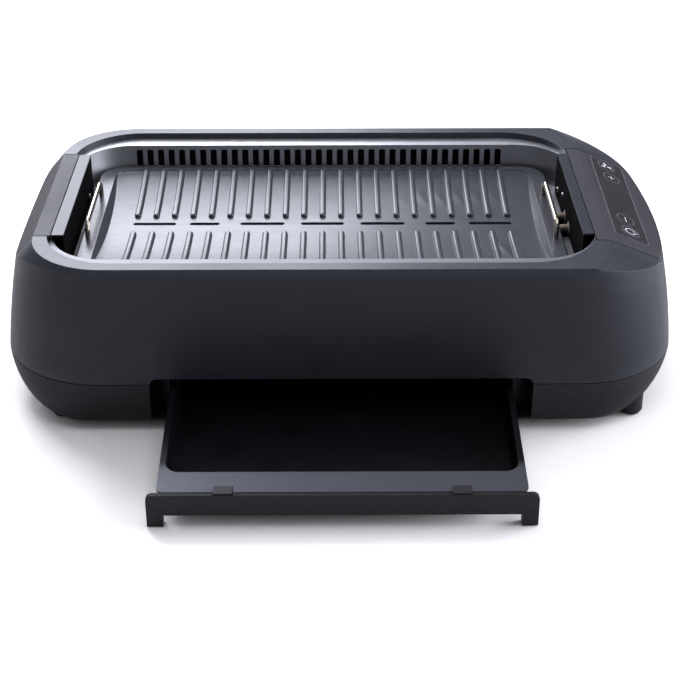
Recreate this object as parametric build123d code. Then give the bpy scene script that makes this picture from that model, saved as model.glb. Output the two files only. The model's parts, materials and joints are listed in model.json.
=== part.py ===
from build123d import *
import math
import os

# Smokeless electric grill: housing, lined well with a lift-off cooking plate, and a grease drawer.
# All sizes in millimetres. X is the width, Y runs from front to back, Z is up.
os.makedirs("parts", exist_ok=True)

# Housing outline at the seam between the base and the upper shell
half_width = 273.0
half_depth = 149.0
seam_corner = 82.0
left_bow_radius = 2000.0
right_bow_radius = 540.0

# Housing heights
total_height = 140.0
mid_height = 90.0
seam_height = 43.4
base_bottom = 8.0
base_low = 16.0
base_high = 28.0

# How far the ends and the front lean in at each height, from the seam
mid_lean_left = 6.3
mid_lean_right = 6.0
top_lean_left = 16.4
top_lean_right = 17.5
mid_lean_front = 0.7
top_lean_front = 2.2
base_high_tuck = 5.5
base_low_tuck = 16.0
base_bottom_tuck = 40.0
base_high_tuck_front = 0.3
base_low_tuck_front = 1.2
base_bottom_tuck_front = 4.8
base_high_corner = 70.0
base_low_corner = 55.0
base_bottom_corner = 28.0

# Flat rim band and the sloped shoulder around it
band_left = -242.7
band_half_depth = 142.0
band_corner = 60.0
shoulder_drop = 35.0
front_shoulder_run = 0.806
left_shoulder_run = 0.883
shoulder_corner_growth = 28.0

# Wide slope of the control end, which falls away from the flat band
slope_start = 208.5
slope_run = 2.445
slope_half_depth = 172.0
slope_corner = 80.0

# Bevel between that slope and the right end wall
bevel_top = 240.0
bevel_run = 1.071
bevel_turn = 1.2

# Wall thicknesses
shell_wall = 3.0
shell_top_wall = 5.0
base_wall = 3.0
cap_skin = 1.6
cap_skin_drop = 1.9
sheet = 0.8

# Well opening in the rim band
opening_left = -232.1
opening_right = 198.9
opening_half_depth = 131.0
opening_corner = 55.0

# End caps and the strips inside them
cap_gap = 1.0
left_cap_edge = -229.5
left_cap_half_depth = 82.0
right_cap_edge = 199.3
right_cap_half_depth = 92.0
cap_bottom = 87.0
strip_gap = 0.8
strip_width_left = 9.6
strip_width_right = 8.4
strip_half_depth = 81.0
strip_leg = 2.5
strip_top = 3.0

# Touch window on the sloped face of the control cap
window_length = 163.5
window_width = 32.5
window_from_edge = 9.6
window_mid_y = 7.5
window_turn = 1.2
window_thickness = 0.9
window_corner = 5.0
board_thickness = 1.6

# Stainless lining of the well
liner_flange_top = total_height - shell_top_wall
liner_flange_overlap = 4.0
liner_half_depth = 115.0
liner_left = -229.5
liner_right = 199.6
liner_corner = 45.0
liner_lean = 3.0
ledge_top = 104.0
ledge_width = 12.0
vent_count = 35
vent_pitch = 9.46
vent_width = 5.6
vent_bottom = 116.0
vent_top = 131.0
vent_center_x = -19.5

# Cooking plate
plate_center_x = -15.9
plate_half_length = 196.5
plate_half_depth = 106.0
plate_corner = 22.0
plate_seat_gap = 0.3
plate_top = 118.2
floor_mid_height = 109.5
floor_rise = 8.2
floor_half_length = 183.5
floor_half_depth = 97.0
floor_corner = 12.0
end_wall_run = 0.51
floor_thickness = 5.0
skirt_end = 18.5
skirt_side = 12.0
rib_count = 21
rib_pitch = 15.7
rib_inner = 15.5
rib_outer = 96.0
rib_width = 5.3
rib_height = 2.8
rib_root = 0.6
rib_rounding = 2.0
slot_width = 5.0
slot_line_y = 3.5
center_slot = 36.2
long_slot_start = 32.0
long_slot_end = 69.3
short_slot_start = 86.6
short_slot_end = 111.8
groove_start = 123.4
groove_end = 159.5
groove_depth = 2.0

# Wire handles of the plate
handle_wire = 4.0
handle_x = 190.4
handle_half_span = 43.0
handle_height = 13.5
handle_bend = 9.0
handle_socket_depth = 8.0

# Tubular heating element
element_diameter = 6.5
element_height = 96.0
element_exit_height = 109.0
element_exit_mid_y = 6.5
element_exit_spacing = 23.0
element_end_x = 213.0
element_bend = 13.0
element_outer_y = 75.0
element_inner_y = 27.0
element_left_x = -182.0
element_fold_x = 92.0
element_cross_x = 125.0
bead_radius = 5.5
bead_length = 16.0
notch_margin = 7.0

# Reflector pan below the element
pan_half_length = 190.0
pan_half_depth = 101.0
pan_corner = 25.0
pan_rim = 6.0
pan_floor = 79.0
drain_half_length = 98.0
drain_half_depth = 30.0
drain_lip = 5.0
support_left_x = -130.0
support_right_x = 106.0
support_thickness = 1.5

# Grease drawer, at rest as it stands pulled out
drawer_center_x = -1.0
drawer_tilt = 5.8
drawer_front_y = -276.0
drawer_top = 27.6
drawer_bottom = 10.5
drawer_half_width = 141.0
drawer_front_thickness = 4.0
drawer_corner = 4.5
leg_width = 11.6
leg_depth = 8.0
leg_foot = 0.8
tray_half_width = 133.6
tray_length = 242.0
tray_depth = 24.0
tray_wall = 1.6
tray_corner = 12.0
tray_front_strip = 20.8
tray_side_flange = 3.0
tray_back_flange = 6.0
tray_bottom_rounding = 5.0
tab_x = 85.6
tab_width = 14.0
tab_depth = 8.0
tab_height = 1.6
tab_setback = 0.6

# Recess in the front and the bay behind it
recess_half_width = 149.7
recess_top = 48.2
recess_depth = 20.0
recess_corner = 12.0
recess_top_corner = 6.0
bay_half_width = 140.0
bay_wall = 2.0
bay_back = 104.0
bay_door_half_width = 136.0
bay_door_bottom = 13.0
bay_door_top = 46.5
runner_clearance = 0.4
runner_ledge = 2.0
runner_lip = 1.6
runner_start = -124.0
runner_end = 100.0

# Feet
foot_center_x = 4.0
foot_inset = 44.0
foot_y = 119.0
foot_radius = 9.2
foot_rounding = 1.5
pad_radius = 8.2
pad_height = 2.0

# Smoke fan in the rear chamber
fan_x = -18.0
fan_z = 74.0
fan_box_half = 27.0
fan_box_wall = 2.0
fan_box_front = 118.0
fan_box_back = 144.4
fan_bore = 22.5
fan_tip_gap = 1.4
fan_plate_front = 131.0
fan_plate_thickness = 3.0
hub_radius = 8.0
hub_front = 129.5
hub_length = 8.5
blade_count = 7
blade_thickness = 1.2
blade_chord = 9.0
blade_angle = 35.0
motor_radius = 13.0
motor_length = 8.0
shaft_radius = 1.5
shaft_clearance = 0.05
grille_half_width = 30.0
grille_bottom = 54.0
grille_top = 94.0
grille_thickness = 2.0
grille_slots = 9
grille_slot_width = 4.0
grille_pitch = 6.4
grille_margin = 5.0

# Electronics in the right end of the base
board_left_inset = 118.0
board_right_inset = 49.0
board_half_depth = 58.0
standoff_height = 8.0
standoff_radius = 3.5
board_hole_inset = 6.0
shield_left_inset = 127.0
shield_z = 66.0
shield_right_inset = 31.0
shield_half_depth = 84.0
sensor_x = 150.0
sensor_y = 62.0
sensor_radius = 5.0
sensor_height = 6.0
fuse_length = 18.0
fuse_width = 9.0

# Mains cord gland in the back
gland_inset = 123.0
gland_z = 28.0
gland_radius = 8.0
gland_bore = 3.75
gland_flange = 11.0
gland_flange_length = 5.0
gland_inside = 12.0
gland_nut_width = 24.0
gland_nut_length = 5.0
gland_nut_setback = 4.6

# Screws
boss_inset = 97.0
boss_y = 135.0
boss_radius = 6.0
boss_top = 72.0
screw_radius = 1.9
screw_hole = 2.1
screw_head_radius = 3.6
screw_head_height = 2.4
screw_head_recess = 4.0
screw_length = 48.0
small_screw_radius = 1.4
small_head_radius = 2.8
small_head_height = 1.8
snug = 0.05

# Places worked out from the values above
plate_bottom = ledge_top + plate_seat_gap
floor_radius = (floor_half_depth ** 2 + floor_rise ** 2) / (2 * floor_rise)
floor_axis_z = floor_mid_height + floor_radius
base_floor = base_bottom + base_wall
foot_half_spacing = half_width - foot_inset
board_left = half_width - board_left_inset
board_right = half_width - board_right_inset
shield_x = half_width - shield_left_inset
shield_right = half_width - shield_right_inset
gland_x = half_width - gland_inset
boss_x = half_width - boss_inset
rear_most = half_depth + gland_flange_length
frame_shift = -(drawer_front_y + rear_most) / 2
tilt = math.radians(drawer_tilt)
slope_angle = math.atan(1 / slope_run)


def save(name, shape):
    """Write one piece, moved so that the origin is under the middle of the whole object."""
    export_step(Pos(0, frame_shift, 0) * shape, f"parts/{name}.step")


def block(x0, x1, y0, y1, z0, z1):
    """Box between two corners."""
    size = Box(x1 - x0, y1 - y0, z1 - z0)
    return Pos((x0 + x1) / 2, (y0 + y1) / 2, (z0 + z1) / 2) * size


def rod(radius, start, end, x=0.0, y=0.0, z=0.0, along="Z"):
    """Round bar from start to end along one axis, through the given point."""
    bar = Pos(0, 0, (start + end) / 2) * Cylinder(radius, end - start)
    if along == "X":
        return Pos(0, y, z) * Rot(0, 90, 0) * bar
    if along == "Y":
        return Pos(x, 0, z) * Rot(-90, 0, 0) * bar
    return Pos(x, y, 0) * bar


def rounded(x0, x1, half_y, corner, z):
    """Rounded rectangle from x0 to x1, centred on Y, at height z."""
    return Pos((x0 + x1) / 2, 0, z) * RectangleRounded(x1 - x0, 2 * half_y, corner)


def outline(z, left, right, depth, corner, inset):
    """Housing outline with bowed ends and rounded corners."""
    x0 = -(left - inset)
    x1 = right - inset
    d = depth - inset
    a = x0 + d * d / (2 * left_bow_radius)
    b = x1 - d * d / (2 * right_bow_radius)
    front = Line((a, -d), (b, -d))
    right_end = ThreePointArc((b, -d), (x1, 0), (b, d))
    back = Line((b, d), (a, d))
    left_end = ThreePointArc((a, d), (x0, 0), (a, -d))
    face = make_face([front, right_end, back, left_end])
    return Pos(0, 0, z) * fillet(face.vertices(), corner - inset)


def seam_outline(inset):
    """Outline where the base and the upper shell meet."""
    return outline(seam_height, half_width, half_width, half_depth, seam_corner, inset)


def shoulder_form(drop):
    """Everything below the flat band and its sloped shoulder."""
    low = total_height - shoulder_drop
    depth = band_half_depth + shoulder_drop * front_shoulder_run
    left = band_left - shoulder_drop * left_shoulder_run
    right = 2 * half_width
    top = rounded(band_left, right, band_half_depth, band_corner, total_height)
    bottom = rounded(left, right, depth, band_corner + shoulder_corner_growth, low)
    slopes = loft([bottom, top], ruled=True)
    bevel_foot = bevel_top + shoulder_drop * bevel_run
    reach_y = half_depth + seam_corner / 4
    bevel = loft([outline(low, right, bevel_foot, reach_y, seam_corner, 0),
                  outline(total_height, right, bevel_top, reach_y, seam_corner, 0)], ruled=True)
    bevel = Rot(0, 0, -bevel_turn) * bevel
    reach = shoulder_drop * slope_run
    control_top = rounded(-2 * half_width, slope_start, slope_half_depth, slope_corner, total_height)
    control_foot = rounded(-2 * half_width - reach, slope_start + reach, slope_half_depth + reach,
                           slope_corner + reach, low)
    control_slope = loft([control_foot, control_top], ruled=True)
    below = block(-2 * half_width, 2 * half_width, -2 * half_depth, 2 * half_depth, 0, low)
    return Pos(0, 0, -drop) * ((slopes & control_slope & bevel) + below)


def upper_form(inset, drop):
    """Solid form of the upper shell, drawn in by a wall."""
    mid = outline(mid_height, half_width - mid_lean_left, half_width - mid_lean_right,
                  half_depth - mid_lean_front, seam_corner, inset)
    top = outline(total_height, half_width - top_lean_left, half_width - top_lean_right,
                  half_depth - top_lean_front, seam_corner, inset)
    return loft([seam_outline(inset), mid, top]) & shoulder_form(drop)


def base_form(inset):
    """Solid form of the base, drawn in by a wall."""
    bottom = outline(base_bottom, half_width - base_bottom_tuck, half_width - base_bottom_tuck,
                     half_depth - base_bottom_tuck_front, base_bottom_corner, inset)
    low = outline(base_low, half_width - base_low_tuck, half_width - base_low_tuck,
                  half_depth - base_low_tuck_front, base_low_corner, inset)
    high = outline(base_high, half_width - base_high_tuck, half_width - base_high_tuck,
                   half_depth - base_high_tuck_front, base_high_corner, inset)
    return loft([bottom, low, high, seam_outline(inset)])


shell_outer = upper_form(0, 0)
shell_skin = upper_form(cap_skin, cap_skin_drop)
shell_inner = upper_form(shell_wall, shell_top_wall)
base_outer = base_form(0)
base_inner = base_form(base_wall)


def left_cap_zone(gap):
    """Space of the left end cap, grown by a gap."""
    return block(-2 * half_width, left_cap_edge + gap, -left_cap_half_depth - gap,
                 left_cap_half_depth + gap, cap_bottom - gap, total_height + gap)


def right_cap_zone(gap):
    """Space of the control cap, grown by a gap."""
    return block(right_cap_edge - gap, 2 * half_width, -right_cap_half_depth - gap,
                 right_cap_half_depth + gap, cap_bottom - gap, total_height + gap)


def on_slope(across, depth, shape):
    """Lay a shape on the sloped control face, down the slope and below its surface."""
    plane = Plane(origin=(slope_start, 0, total_height), x_dir=(slope_run, 0, -1),
                  z_dir=(1, 0, slope_run))
    return plane * Pos(across, window_mid_y, -depth) * Rot(0, 0, -window_turn) * shape


def window_blank(grow, thickness):
    """Rounded slab of the touch window's outline, its top at zero."""
    face = RectangleRounded(window_width + 2 * grow, window_length + 2 * grow, window_corner)
    return extrude(face, -thickness)


window_across = window_from_edge + window_width / 2


def recess_tool():
    """Drawer recess in the front, with rounded inner corners."""
    depth = half_depth - recess_depth
    plan = Pos(drawer_center_x, -half_depth, 0) * RectangleRounded(
        2 * recess_half_width, 2 * recess_depth, recess_corner)
    column = Pos(0, 0, base_floor) * extrude(plan, recess_top - base_floor)
    edges = column.edges().filter_by(Axis.Y).group_by(Axis.Z)[-1]
    hollow = fillet(edges, recess_top_corner)
    straight = block(drawer_center_x - recess_half_width, drawer_center_x + recess_half_width,
                     -half_depth - 30, -depth - recess_corner, 0, base_floor)
    return hollow + (straight & block(-400, 400, -400, -half_depth, 0, base_floor))


def bay_door():
    """Way through the back wall of the recess for the tray."""
    return block(drawer_center_x - bay_door_half_width, drawer_center_x + bay_door_half_width,
                 -half_depth + recess_depth - 1, -half_depth + recess_depth + shell_wall + 1,
                 bay_door_bottom, bay_door_top)


def recess_frame(z0, z1):
    """Solid surround that the recess is cut from."""
    half = recess_half_width + shell_wall
    return block(drawer_center_x - half, drawer_center_x + half, -half_depth,
                 -half_depth + recess_depth + shell_wall, z0, z1)


def boss_places():
    """Plan positions of the four long housing screws."""
    return [(x, y) for x in (-boss_x, boss_x) for y in (-boss_y, boss_y)]


def upper_shell():
    """Grey housing above the seam, with its rim band and opening."""
    shell = shell_outer - shell_inner
    well = extrude(rounded(opening_left, opening_right, opening_half_depth, opening_corner,
                           liner_flange_top - 1), shell_top_wall + 2)
    frame = recess_frame(seam_height, recess_top + shell_wall) & shell_outer
    shell = shell + frame
    for x, y in boss_places():
        column = rod(boss_radius, seam_height, boss_top, x, y)
        web_end = math.copysign(half_depth, y)
        web = block(x - 1.5, x + 1.5, min(y, web_end), max(y, web_end), seam_height, boss_top)
        shell = shell + ((column + web) & shell_outer)
        shell = shell - rod(screw_radius, seam_height, base_floor + screw_length, x, y)
    shell = shell - well - recess_tool() - bay_door()
    shell = shell - (left_cap_zone(cap_gap) - shell_skin)
    shell = shell - (right_cap_zone(cap_gap) - shell_skin)
    board_way = on_slope(window_across, 0, extrude(RectangleRounded(
        window_width + 2, window_length + 2, window_corner), -2 * shell_top_wall))
    shell = shell - board_way
    return shell - grille_zone()


def left_end_cap():
    """Textured dark cap set into the left end."""
    return (shell_outer - shell_skin) & left_cap_zone(0)


def control_cap():
    """Smooth dark cap of the right end, with the pocket for the touch window."""
    cap = (shell_outer - shell_skin) & right_cap_zone(0)
    return cap - on_slope(window_across, 0, window_blank(0, window_thickness))


def control_window():
    """Touch window, flush in its pocket."""
    return on_slope(window_across, 0, window_blank(0, window_thickness))


def control_board():
    """Touch board stuck to the underside of the control cap."""
    under = cap_skin_drop * math.cos(slope_angle)
    return on_slope(window_across, under, window_blank(-1, board_thickness))


def inner_strip(outer_x, inner_x):
    """Dark end wall of the well: a strip on the rim with a leg down to the plate's level."""
    x0 = min(outer_x, inner_x)
    x1 = max(outer_x, inner_x)
    side = 1 if inner_x > outer_x else -1
    top = block(x0, x1, -strip_half_depth, strip_half_depth, total_height - strip_top, total_height)
    rim_foot = outer_x + side * strip_leg
    outer_leg = block(min(outer_x, rim_foot), max(outer_x, rim_foot), -strip_half_depth,
                      strip_half_depth, liner_flange_top, total_height - strip_top)
    wall_face = inner_x - side * strip_leg
    inner_leg = block(min(inner_x, wall_face), max(inner_x, wall_face), -strip_half_depth,
                      strip_half_depth, ledge_top, total_height - strip_top)
    return top + outer_leg + inner_leg


left_strip_outer = left_cap_edge + strip_gap
left_strip_inner = left_strip_outer + strip_width_left
right_strip_outer = right_cap_edge - strip_gap
right_strip_inner = right_strip_outer - strip_width_right


def left_inner_strip():
    """Left end wall of the well."""
    return inner_strip(left_strip_outer, left_strip_inner)


def element_exits():
    """Two Y positions where the element leaves the well."""
    half = element_exit_spacing / 2
    return [element_exit_mid_y - half, element_exit_mid_y + half]


def right_inner_strip():
    """Right end wall of the well, which the element's ends pass through."""
    strip = inner_strip(right_strip_outer, right_strip_inner)
    for y in element_exits():
        strip = strip - rod(bead_radius + snug, right_strip_inner - 1, right_strip_outer + 1,
                            y=y, z=element_exit_height, along="X")
    return strip


def exit_notch(x0, x1, z0, z1):
    """Gap for the element's ends on their way out of the well."""
    low, high = element_exits()
    return block(x0, x1, low - notch_margin, high + notch_margin, z0, z1)


def liner_ring():
    """Stainless ring: flange under the rim band, leaning wall and the ledge for the plate."""
    flange = extrude(rounded(opening_left - liner_flange_overlap,
                             opening_right + liner_flange_overlap,
                             opening_half_depth + liner_flange_overlap,
                             opening_corner, liner_flange_top - sheet), sheet)
    wall_foot = ledge_top - sheet
    upper = rounded(liner_left, liner_right, liner_half_depth, liner_corner, liner_flange_top)
    lower = rounded(liner_left + liner_lean, liner_right - liner_lean,
                    liner_half_depth - liner_lean, liner_corner - liner_lean, wall_foot)
    outer = loft([lower, upper], ruled=True)
    upper_in = rounded(liner_left + sheet, liner_right - sheet, liner_half_depth - sheet,
                       liner_corner - sheet, liner_flange_top)
    lower_in = rounded(liner_left + liner_lean + sheet, liner_right - liner_lean - sheet,
                       liner_half_depth - liner_lean - sheet,
                       liner_corner - liner_lean - sheet, wall_foot)
    inner = loft([lower_in, upper_in], ruled=True)
    ledge = extrude(rounded(plate_center_x - plate_half_length + ledge_width,
                            plate_center_x + plate_half_length - ledge_width,
                            plate_half_depth - ledge_width, plate_corner, wall_foot), sheet)
    hollow = (inner & block(-400, 400, -400, 400, ledge_top, total_height)) + ledge
    ring = (flange + outer) - hollow
    ring = ring - exit_notch(plate_center_x + plate_half_length - ledge_width - 1,
                             liner_right + 2, wall_foot - 1, element_exit_height + bead_radius)
    first = vent_center_x - vent_pitch * (vent_count - 1) / 2
    slot = extrude(RectangleRounded(vent_width, vent_top - vent_bottom, 1.2), 10, both=True)
    for i in range(vent_count):
        place = Pos(first + i * vent_pitch, liner_half_depth, (vent_bottom + vent_top) / 2)
        ring = ring - place * Rot(90, 0, 0) * slot
    return ring


well_ring = liner_ring()


def rear_liner():
    """Rear half of the well's lining, with the smoke vents."""
    return well_ring & block(-400, 400, 0, 400, 0, 2 * total_height)


def front_liner():
    """Front half of the well's lining."""
    return well_ring & block(-400, 400, -400, 0, 0, 2 * total_height)


def floor_height(y):
    """Height of the cooking floor, which dips along a wide arc to the slots in the middle."""
    return floor_axis_z - math.sqrt(floor_radius ** 2 - y ** 2)


def floor_profile(half, lift, end):
    """Profile across the plate between the cooking floor's arc and a level line."""
    edge = floor_height(half) + lift
    dip = ThreePointArc((-half, edge), (0, floor_mid_height + lift), (half, edge))
    sides = Polyline((half, edge), (half, end), (-half, end), (-half, edge))
    return make_face(dip + sides)


def floor_recess():
    """Room above the cooking floor, with leaning end walls and round corners."""
    rise = plate_top + 2 - floor_mid_height
    levels = []
    for height, half in ((rise, floor_half_length + 2 * end_wall_run),
                         (-2, floor_half_length - end_wall_run * rise)):
        plan = RectangleRounded(2 * half, 2 * floor_half_depth, floor_corner)
        levels.append(Pos(0, 0, floor_mid_height + height) * plan)
    section = Plane.YZ * floor_profile(floor_half_depth + 2, 0, plate_top + 10)
    length = 2 * floor_half_length + 20
    return loft(levels, ruled=True) & Pos(-length / 2, 0, 0) * extrude(section, length)


def plate_rib(side):
    """One raised rib, which follows its half of the floor."""
    bar = extrude(SlotOverall(rib_outer - rib_inner, rib_width), total_height)
    bar = Pos(0, side * (rib_inner + rib_outer) / 2, 0) * Rot(0, 0, 90) * bar
    crest = floor_radius - rib_height
    band = Pos(0, floor_axis_z) * (Circle(floor_radius + rib_root) - Circle(crest))
    rib = bar & extrude(Plane.YZ * band, rib_width, both=True)
    rim = []
    for edge in rib.edges():
        middle = edge @ 0.5
        if abs(math.hypot(middle.Y, middle.Z - floor_axis_z) - crest) < 0.01:
            rim.append(edge)
    return fillet(rim, rib_rounding)


def through_slot(x0, x1, depth):
    """Slot along the middle of the plate between two X positions."""
    bar = extrude(SlotOverall(x1 - x0, slot_width), depth)
    return Pos((x0 + x1) / 2, slot_line_y, floor_mid_height + 5 - depth) * bar


def grill_plate():
    """Cast cooking plate with a falling floor, ribs, drain slots and end flanges."""
    blank = extrude(RectangleRounded(2 * plate_half_length, 2 * plate_half_depth, plate_corner),
                    plate_top - plate_bottom)
    plate = Pos(0, 0, plate_bottom) * blank
    rim_edges = plate.edges().group_by(Axis.Z)[-1]
    plate = fillet(rim_edges, 1.5)
    plate = plate - floor_recess()
    half_under = plate_half_depth - skirt_side
    under_section = Plane.YZ * floor_profile(half_under, -floor_thickness, plate_bottom - 5)
    under_half = plate_half_length - skirt_end
    plate = plate - Pos(-under_half, 0, 0) * extrude(under_section, 2 * under_half)
    first = -rib_pitch * (rib_count - 1) / 2
    pair = [plate_rib(side) for side in (-1, 1)]
    ribs = [Pos(first + i * rib_pitch, 0, 0) * rib for i in range(rib_count) for rib in pair]
    plate = plate + ribs
    cuts = [through_slot(-center_slot / 2, center_slot / 2, 20)]
    groove = 5 + groove_depth
    for side in (-1, 1):
        for a, b, depth in ((long_slot_start, long_slot_end, 20),
                            (short_slot_start, short_slot_end, 20),
                            (groove_start, groove_end, groove)):
            cuts.append(through_slot(min(side * a, side * b), max(side * a, side * b), depth))
        for y in (-handle_half_span, handle_half_span):
            cuts.append(rod(handle_wire / 2, plate_top - handle_socket_depth, plate_top + 1,
                            side * handle_x, y))
    plate = Pos(plate_center_x, 0, 0) * (plate - cuts)
    return plate - plate_notch()


def plate_notch():
    """Arch under the plate's right flange, over the element's ends."""
    edge = plate_center_x + floor_half_length
    end = plate_center_x + plate_half_length
    inner = edge - 6
    roof = element_exit_height + 4.5
    points = [(inner, plate_bottom - 3), (inner, plate_bottom + 2.2), (edge + 0.4, plate_bottom + 2.2),
              (edge + 7.6, roof), (end + 2, roof), (end + 2, plate_bottom - 3)]
    low, high = element_exits()
    face = Plane.XZ * make_face(Polyline(points, close=True))
    arch = extrude(face, (high - low) / 2 + notch_margin, both=True)
    return Pos(0, (low + high) / 2, 0) * arch


def plate_handle(side):
    """Bent wire handle pressed into the plate's end flange."""
    low = plate_top - handle_socket_depth
    high = plate_top + handle_height
    x = plate_center_x + side * handle_x
    points = [(x, -handle_half_span, low), (x, -handle_half_span, high),
              (x, handle_half_span, high), (x, handle_half_span, low)]
    path = FilletPolyline(points, radius=handle_bend)
    section = Plane(origin=points[0], z_dir=(0, 0, 1)) * Circle(handle_wire / 2)
    return sweep(section, path=path)


def element_route(y_exit, y_outer):
    """Half of the element, from its end in the wall to the middle of the inner fold."""
    step = element_exit_height - element_height
    bend_x = plate_center_x + plate_half_length + 3
    return [(element_end_x, y_exit, element_exit_height),
            (bend_x, y_exit, element_exit_height),
            (bend_x - step, y_exit, element_height),
            (element_cross_x, y_exit, element_height),
            (element_cross_x, y_outer, element_height),
            (element_left_x, y_outer, element_height)]


def heating_element():
    """Tubular element bent into four long runs below the plate."""
    low, high = element_exits()
    front = element_route(low, -element_outer_y)
    back = element_route(high, element_outer_y)
    inner = [(element_left_x, -element_inner_y, element_height),
             (element_fold_x, -element_inner_y, element_height),
             (element_fold_x, element_inner_y, element_height),
             (element_left_x, element_inner_y, element_height)]
    points = front + inner + back[::-1]
    small = 7.0
    radii = [small] * 2 + [element_bend] * (len(points) - 6) + [small] * 2
    path = FilletPolyline(points, radius=radii)
    section = Plane(origin=points[0], z_dir=(-1, 0, 0)) * Circle(element_diameter / 2)
    return sweep(section, path=path)


def element_terminals():
    """Ceramic beads around the element's ends in the right end wall."""
    beads = []
    for y in element_exits():
        bead = rod(bead_radius, right_strip_inner, right_strip_inner + bead_length,
                   y=y, z=element_exit_height, along="X")
        beads.append(bead - rod(element_diameter / 2 + snug, right_strip_inner - 1,
                                element_end_x + 5, y=y, z=element_exit_height, along="X"))
    return Compound(children=beads)


def reflector_pan():
    """Stainless pan under the element with a lipped drain opening."""
    x0 = plate_center_x - pan_half_length
    x1 = plate_center_x + pan_half_length
    rim_height = ledge_top - sheet
    body = extrude(rounded(x0, x1, pan_half_depth, pan_corner, pan_floor), rim_height - pan_floor)
    hollow = extrude(rounded(x0 + sheet, x1 - sheet, pan_half_depth - sheet, pan_corner - sheet,
                             pan_floor + sheet), rim_height)
    rim = extrude(rounded(x0 - pan_rim, x1 + pan_rim, pan_half_depth + pan_rim,
                          pan_corner + pan_rim, rim_height - sheet), sheet)
    drain_x0 = plate_center_x - drain_half_length
    drain_x1 = plate_center_x + drain_half_length
    lip = extrude(rounded(drain_x0 - sheet, drain_x1 + sheet, drain_half_depth + sheet,
                          pan_corner, pan_floor - drain_lip), drain_lip)
    drain = extrude(rounded(drain_x0, drain_x1, drain_half_depth, pan_corner - sheet,
                            pan_floor - drain_lip - 1), drain_lip + 10)
    pan = (body + rim - hollow + lip) - drain
    return pan - exit_notch(x1 - 8, x1 + pan_rim + 1, element_height - 5, rim_height + 1)


def element_supports():
    """Two strips on the pan floor with seats for the element's runs."""
    strips = []
    for x, ys in ((support_left_x, (-element_outer_y, -element_inner_y, element_inner_y,
                                    element_outer_y)),
                  (support_right_x, (-element_outer_y, element_outer_y))):
        half = element_outer_y + element_diameter
        strip = block(x - support_thickness, x + support_thickness, -half, half,
                      pan_floor + sheet, element_height)
        strip = strip - block(x - 5, x + 5, -drain_half_depth + 12, drain_half_depth - 12,
                              pan_floor, element_height - element_diameter)
        for y in ys:
            strip = strip - rod(element_diameter / 2 + snug, x - 5, x + 5, y=y,
                                z=element_height, along="X")
        strips.append(strip)
    return Compound(children=strips)


def thermostat_sensor():
    """Round temperature sensor held against the underside of the pan."""
    cap = rod(sensor_radius, pan_floor - sensor_height, pan_floor, sensor_x, sensor_y)
    stud = rod(sensor_radius - 2.5, pan_floor - sensor_height - 3, pan_floor - sensor_height,
               sensor_x, sensor_y)
    return cap + stud


def thermal_fuse():
    """Safety cut-out under the pan."""
    body = block(sensor_x - fuse_width / 2, sensor_x + fuse_width / 2, -sensor_y - fuse_length / 2,
                 -sensor_y + fuse_length / 2, pan_floor - sensor_height, pan_floor)
    return fillet(body.edges().filter_by(Axis.Y), 1.2)


def tray_frame(shape):
    """Put a shape drawn flat into the tilted plane of the drawer's slide."""
    return Pos(drawer_center_x, drawer_front_y, drawer_top) * Rot(drawer_tilt, 0, 0) * shape


def drip_tray():
    """Grease tray with its flange, in the tilted plane of the slide."""
    start = drawer_front_thickness / math.cos(tilt)
    flange = extrude(Pos(0, (start + tray_length) / 2, 0) * RectangleRounded(
        2 * tray_half_width, tray_length - start, 5), -tray_wall)
    back = tray_length - tray_back_flange
    front = start + tray_front_strip
    half = tray_half_width - tray_side_flange
    pan = extrude(Pos(0, (front + back) / 2, 0) * RectangleRounded(
        2 * half, back - front, tray_corner), -tray_depth)
    pan = fillet(pan.edges().group_by(Axis.Z)[0], tray_bottom_rounding)
    inner = extrude(Pos(0, (front + back) / 2, 0) * RectangleRounded(
        2 * (half - tray_wall), back - front - 2 * tray_wall, tray_corner - tray_wall),
        -(tray_depth - tray_wall))
    inner = fillet(inner.edges().group_by(Axis.Z)[0], tray_bottom_rounding - tray_wall)
    return tray_frame(flange + pan - inner)


def drawer_front():
    """Front panel with two short legs and the tabs that snap onto the tray."""
    x0 = drawer_center_x - drawer_half_width
    x1 = drawer_center_x + drawer_half_width
    y1 = drawer_front_y + drawer_front_thickness
    panel = block(x0, x1, drawer_front_y, y1, drawer_bottom, drawer_top)
    top_corners = panel.edges().filter_by(Axis.Y).group_by(Axis.Z)[-1]
    panel = fillet(top_corners, drawer_corner)
    for x in (x0, x1 - leg_width):
        panel = panel + block(x, x + leg_width, drawer_front_y, drawer_front_y + leg_depth,
                              leg_foot, drawer_bottom + 4)
    start = drawer_front_thickness / math.cos(tilt)
    for side in (-1, 1):
        tab_x0 = side * tab_x - tab_width / 2
        tab = block(tab_x0, tab_x0 + tab_width, tab_setback, tab_setback + tab_depth, 0, tab_height)
        root = block(tab_x0, tab_x0 + tab_width, tab_setback, start, -tab_height, 0)
        panel = panel + tray_frame(tab + root)
    return panel


def slide_height(y):
    """Height of the tray flange's top at a place along the slide."""
    return drawer_top + (y - drawer_front_y) * math.tan(tilt)


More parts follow.
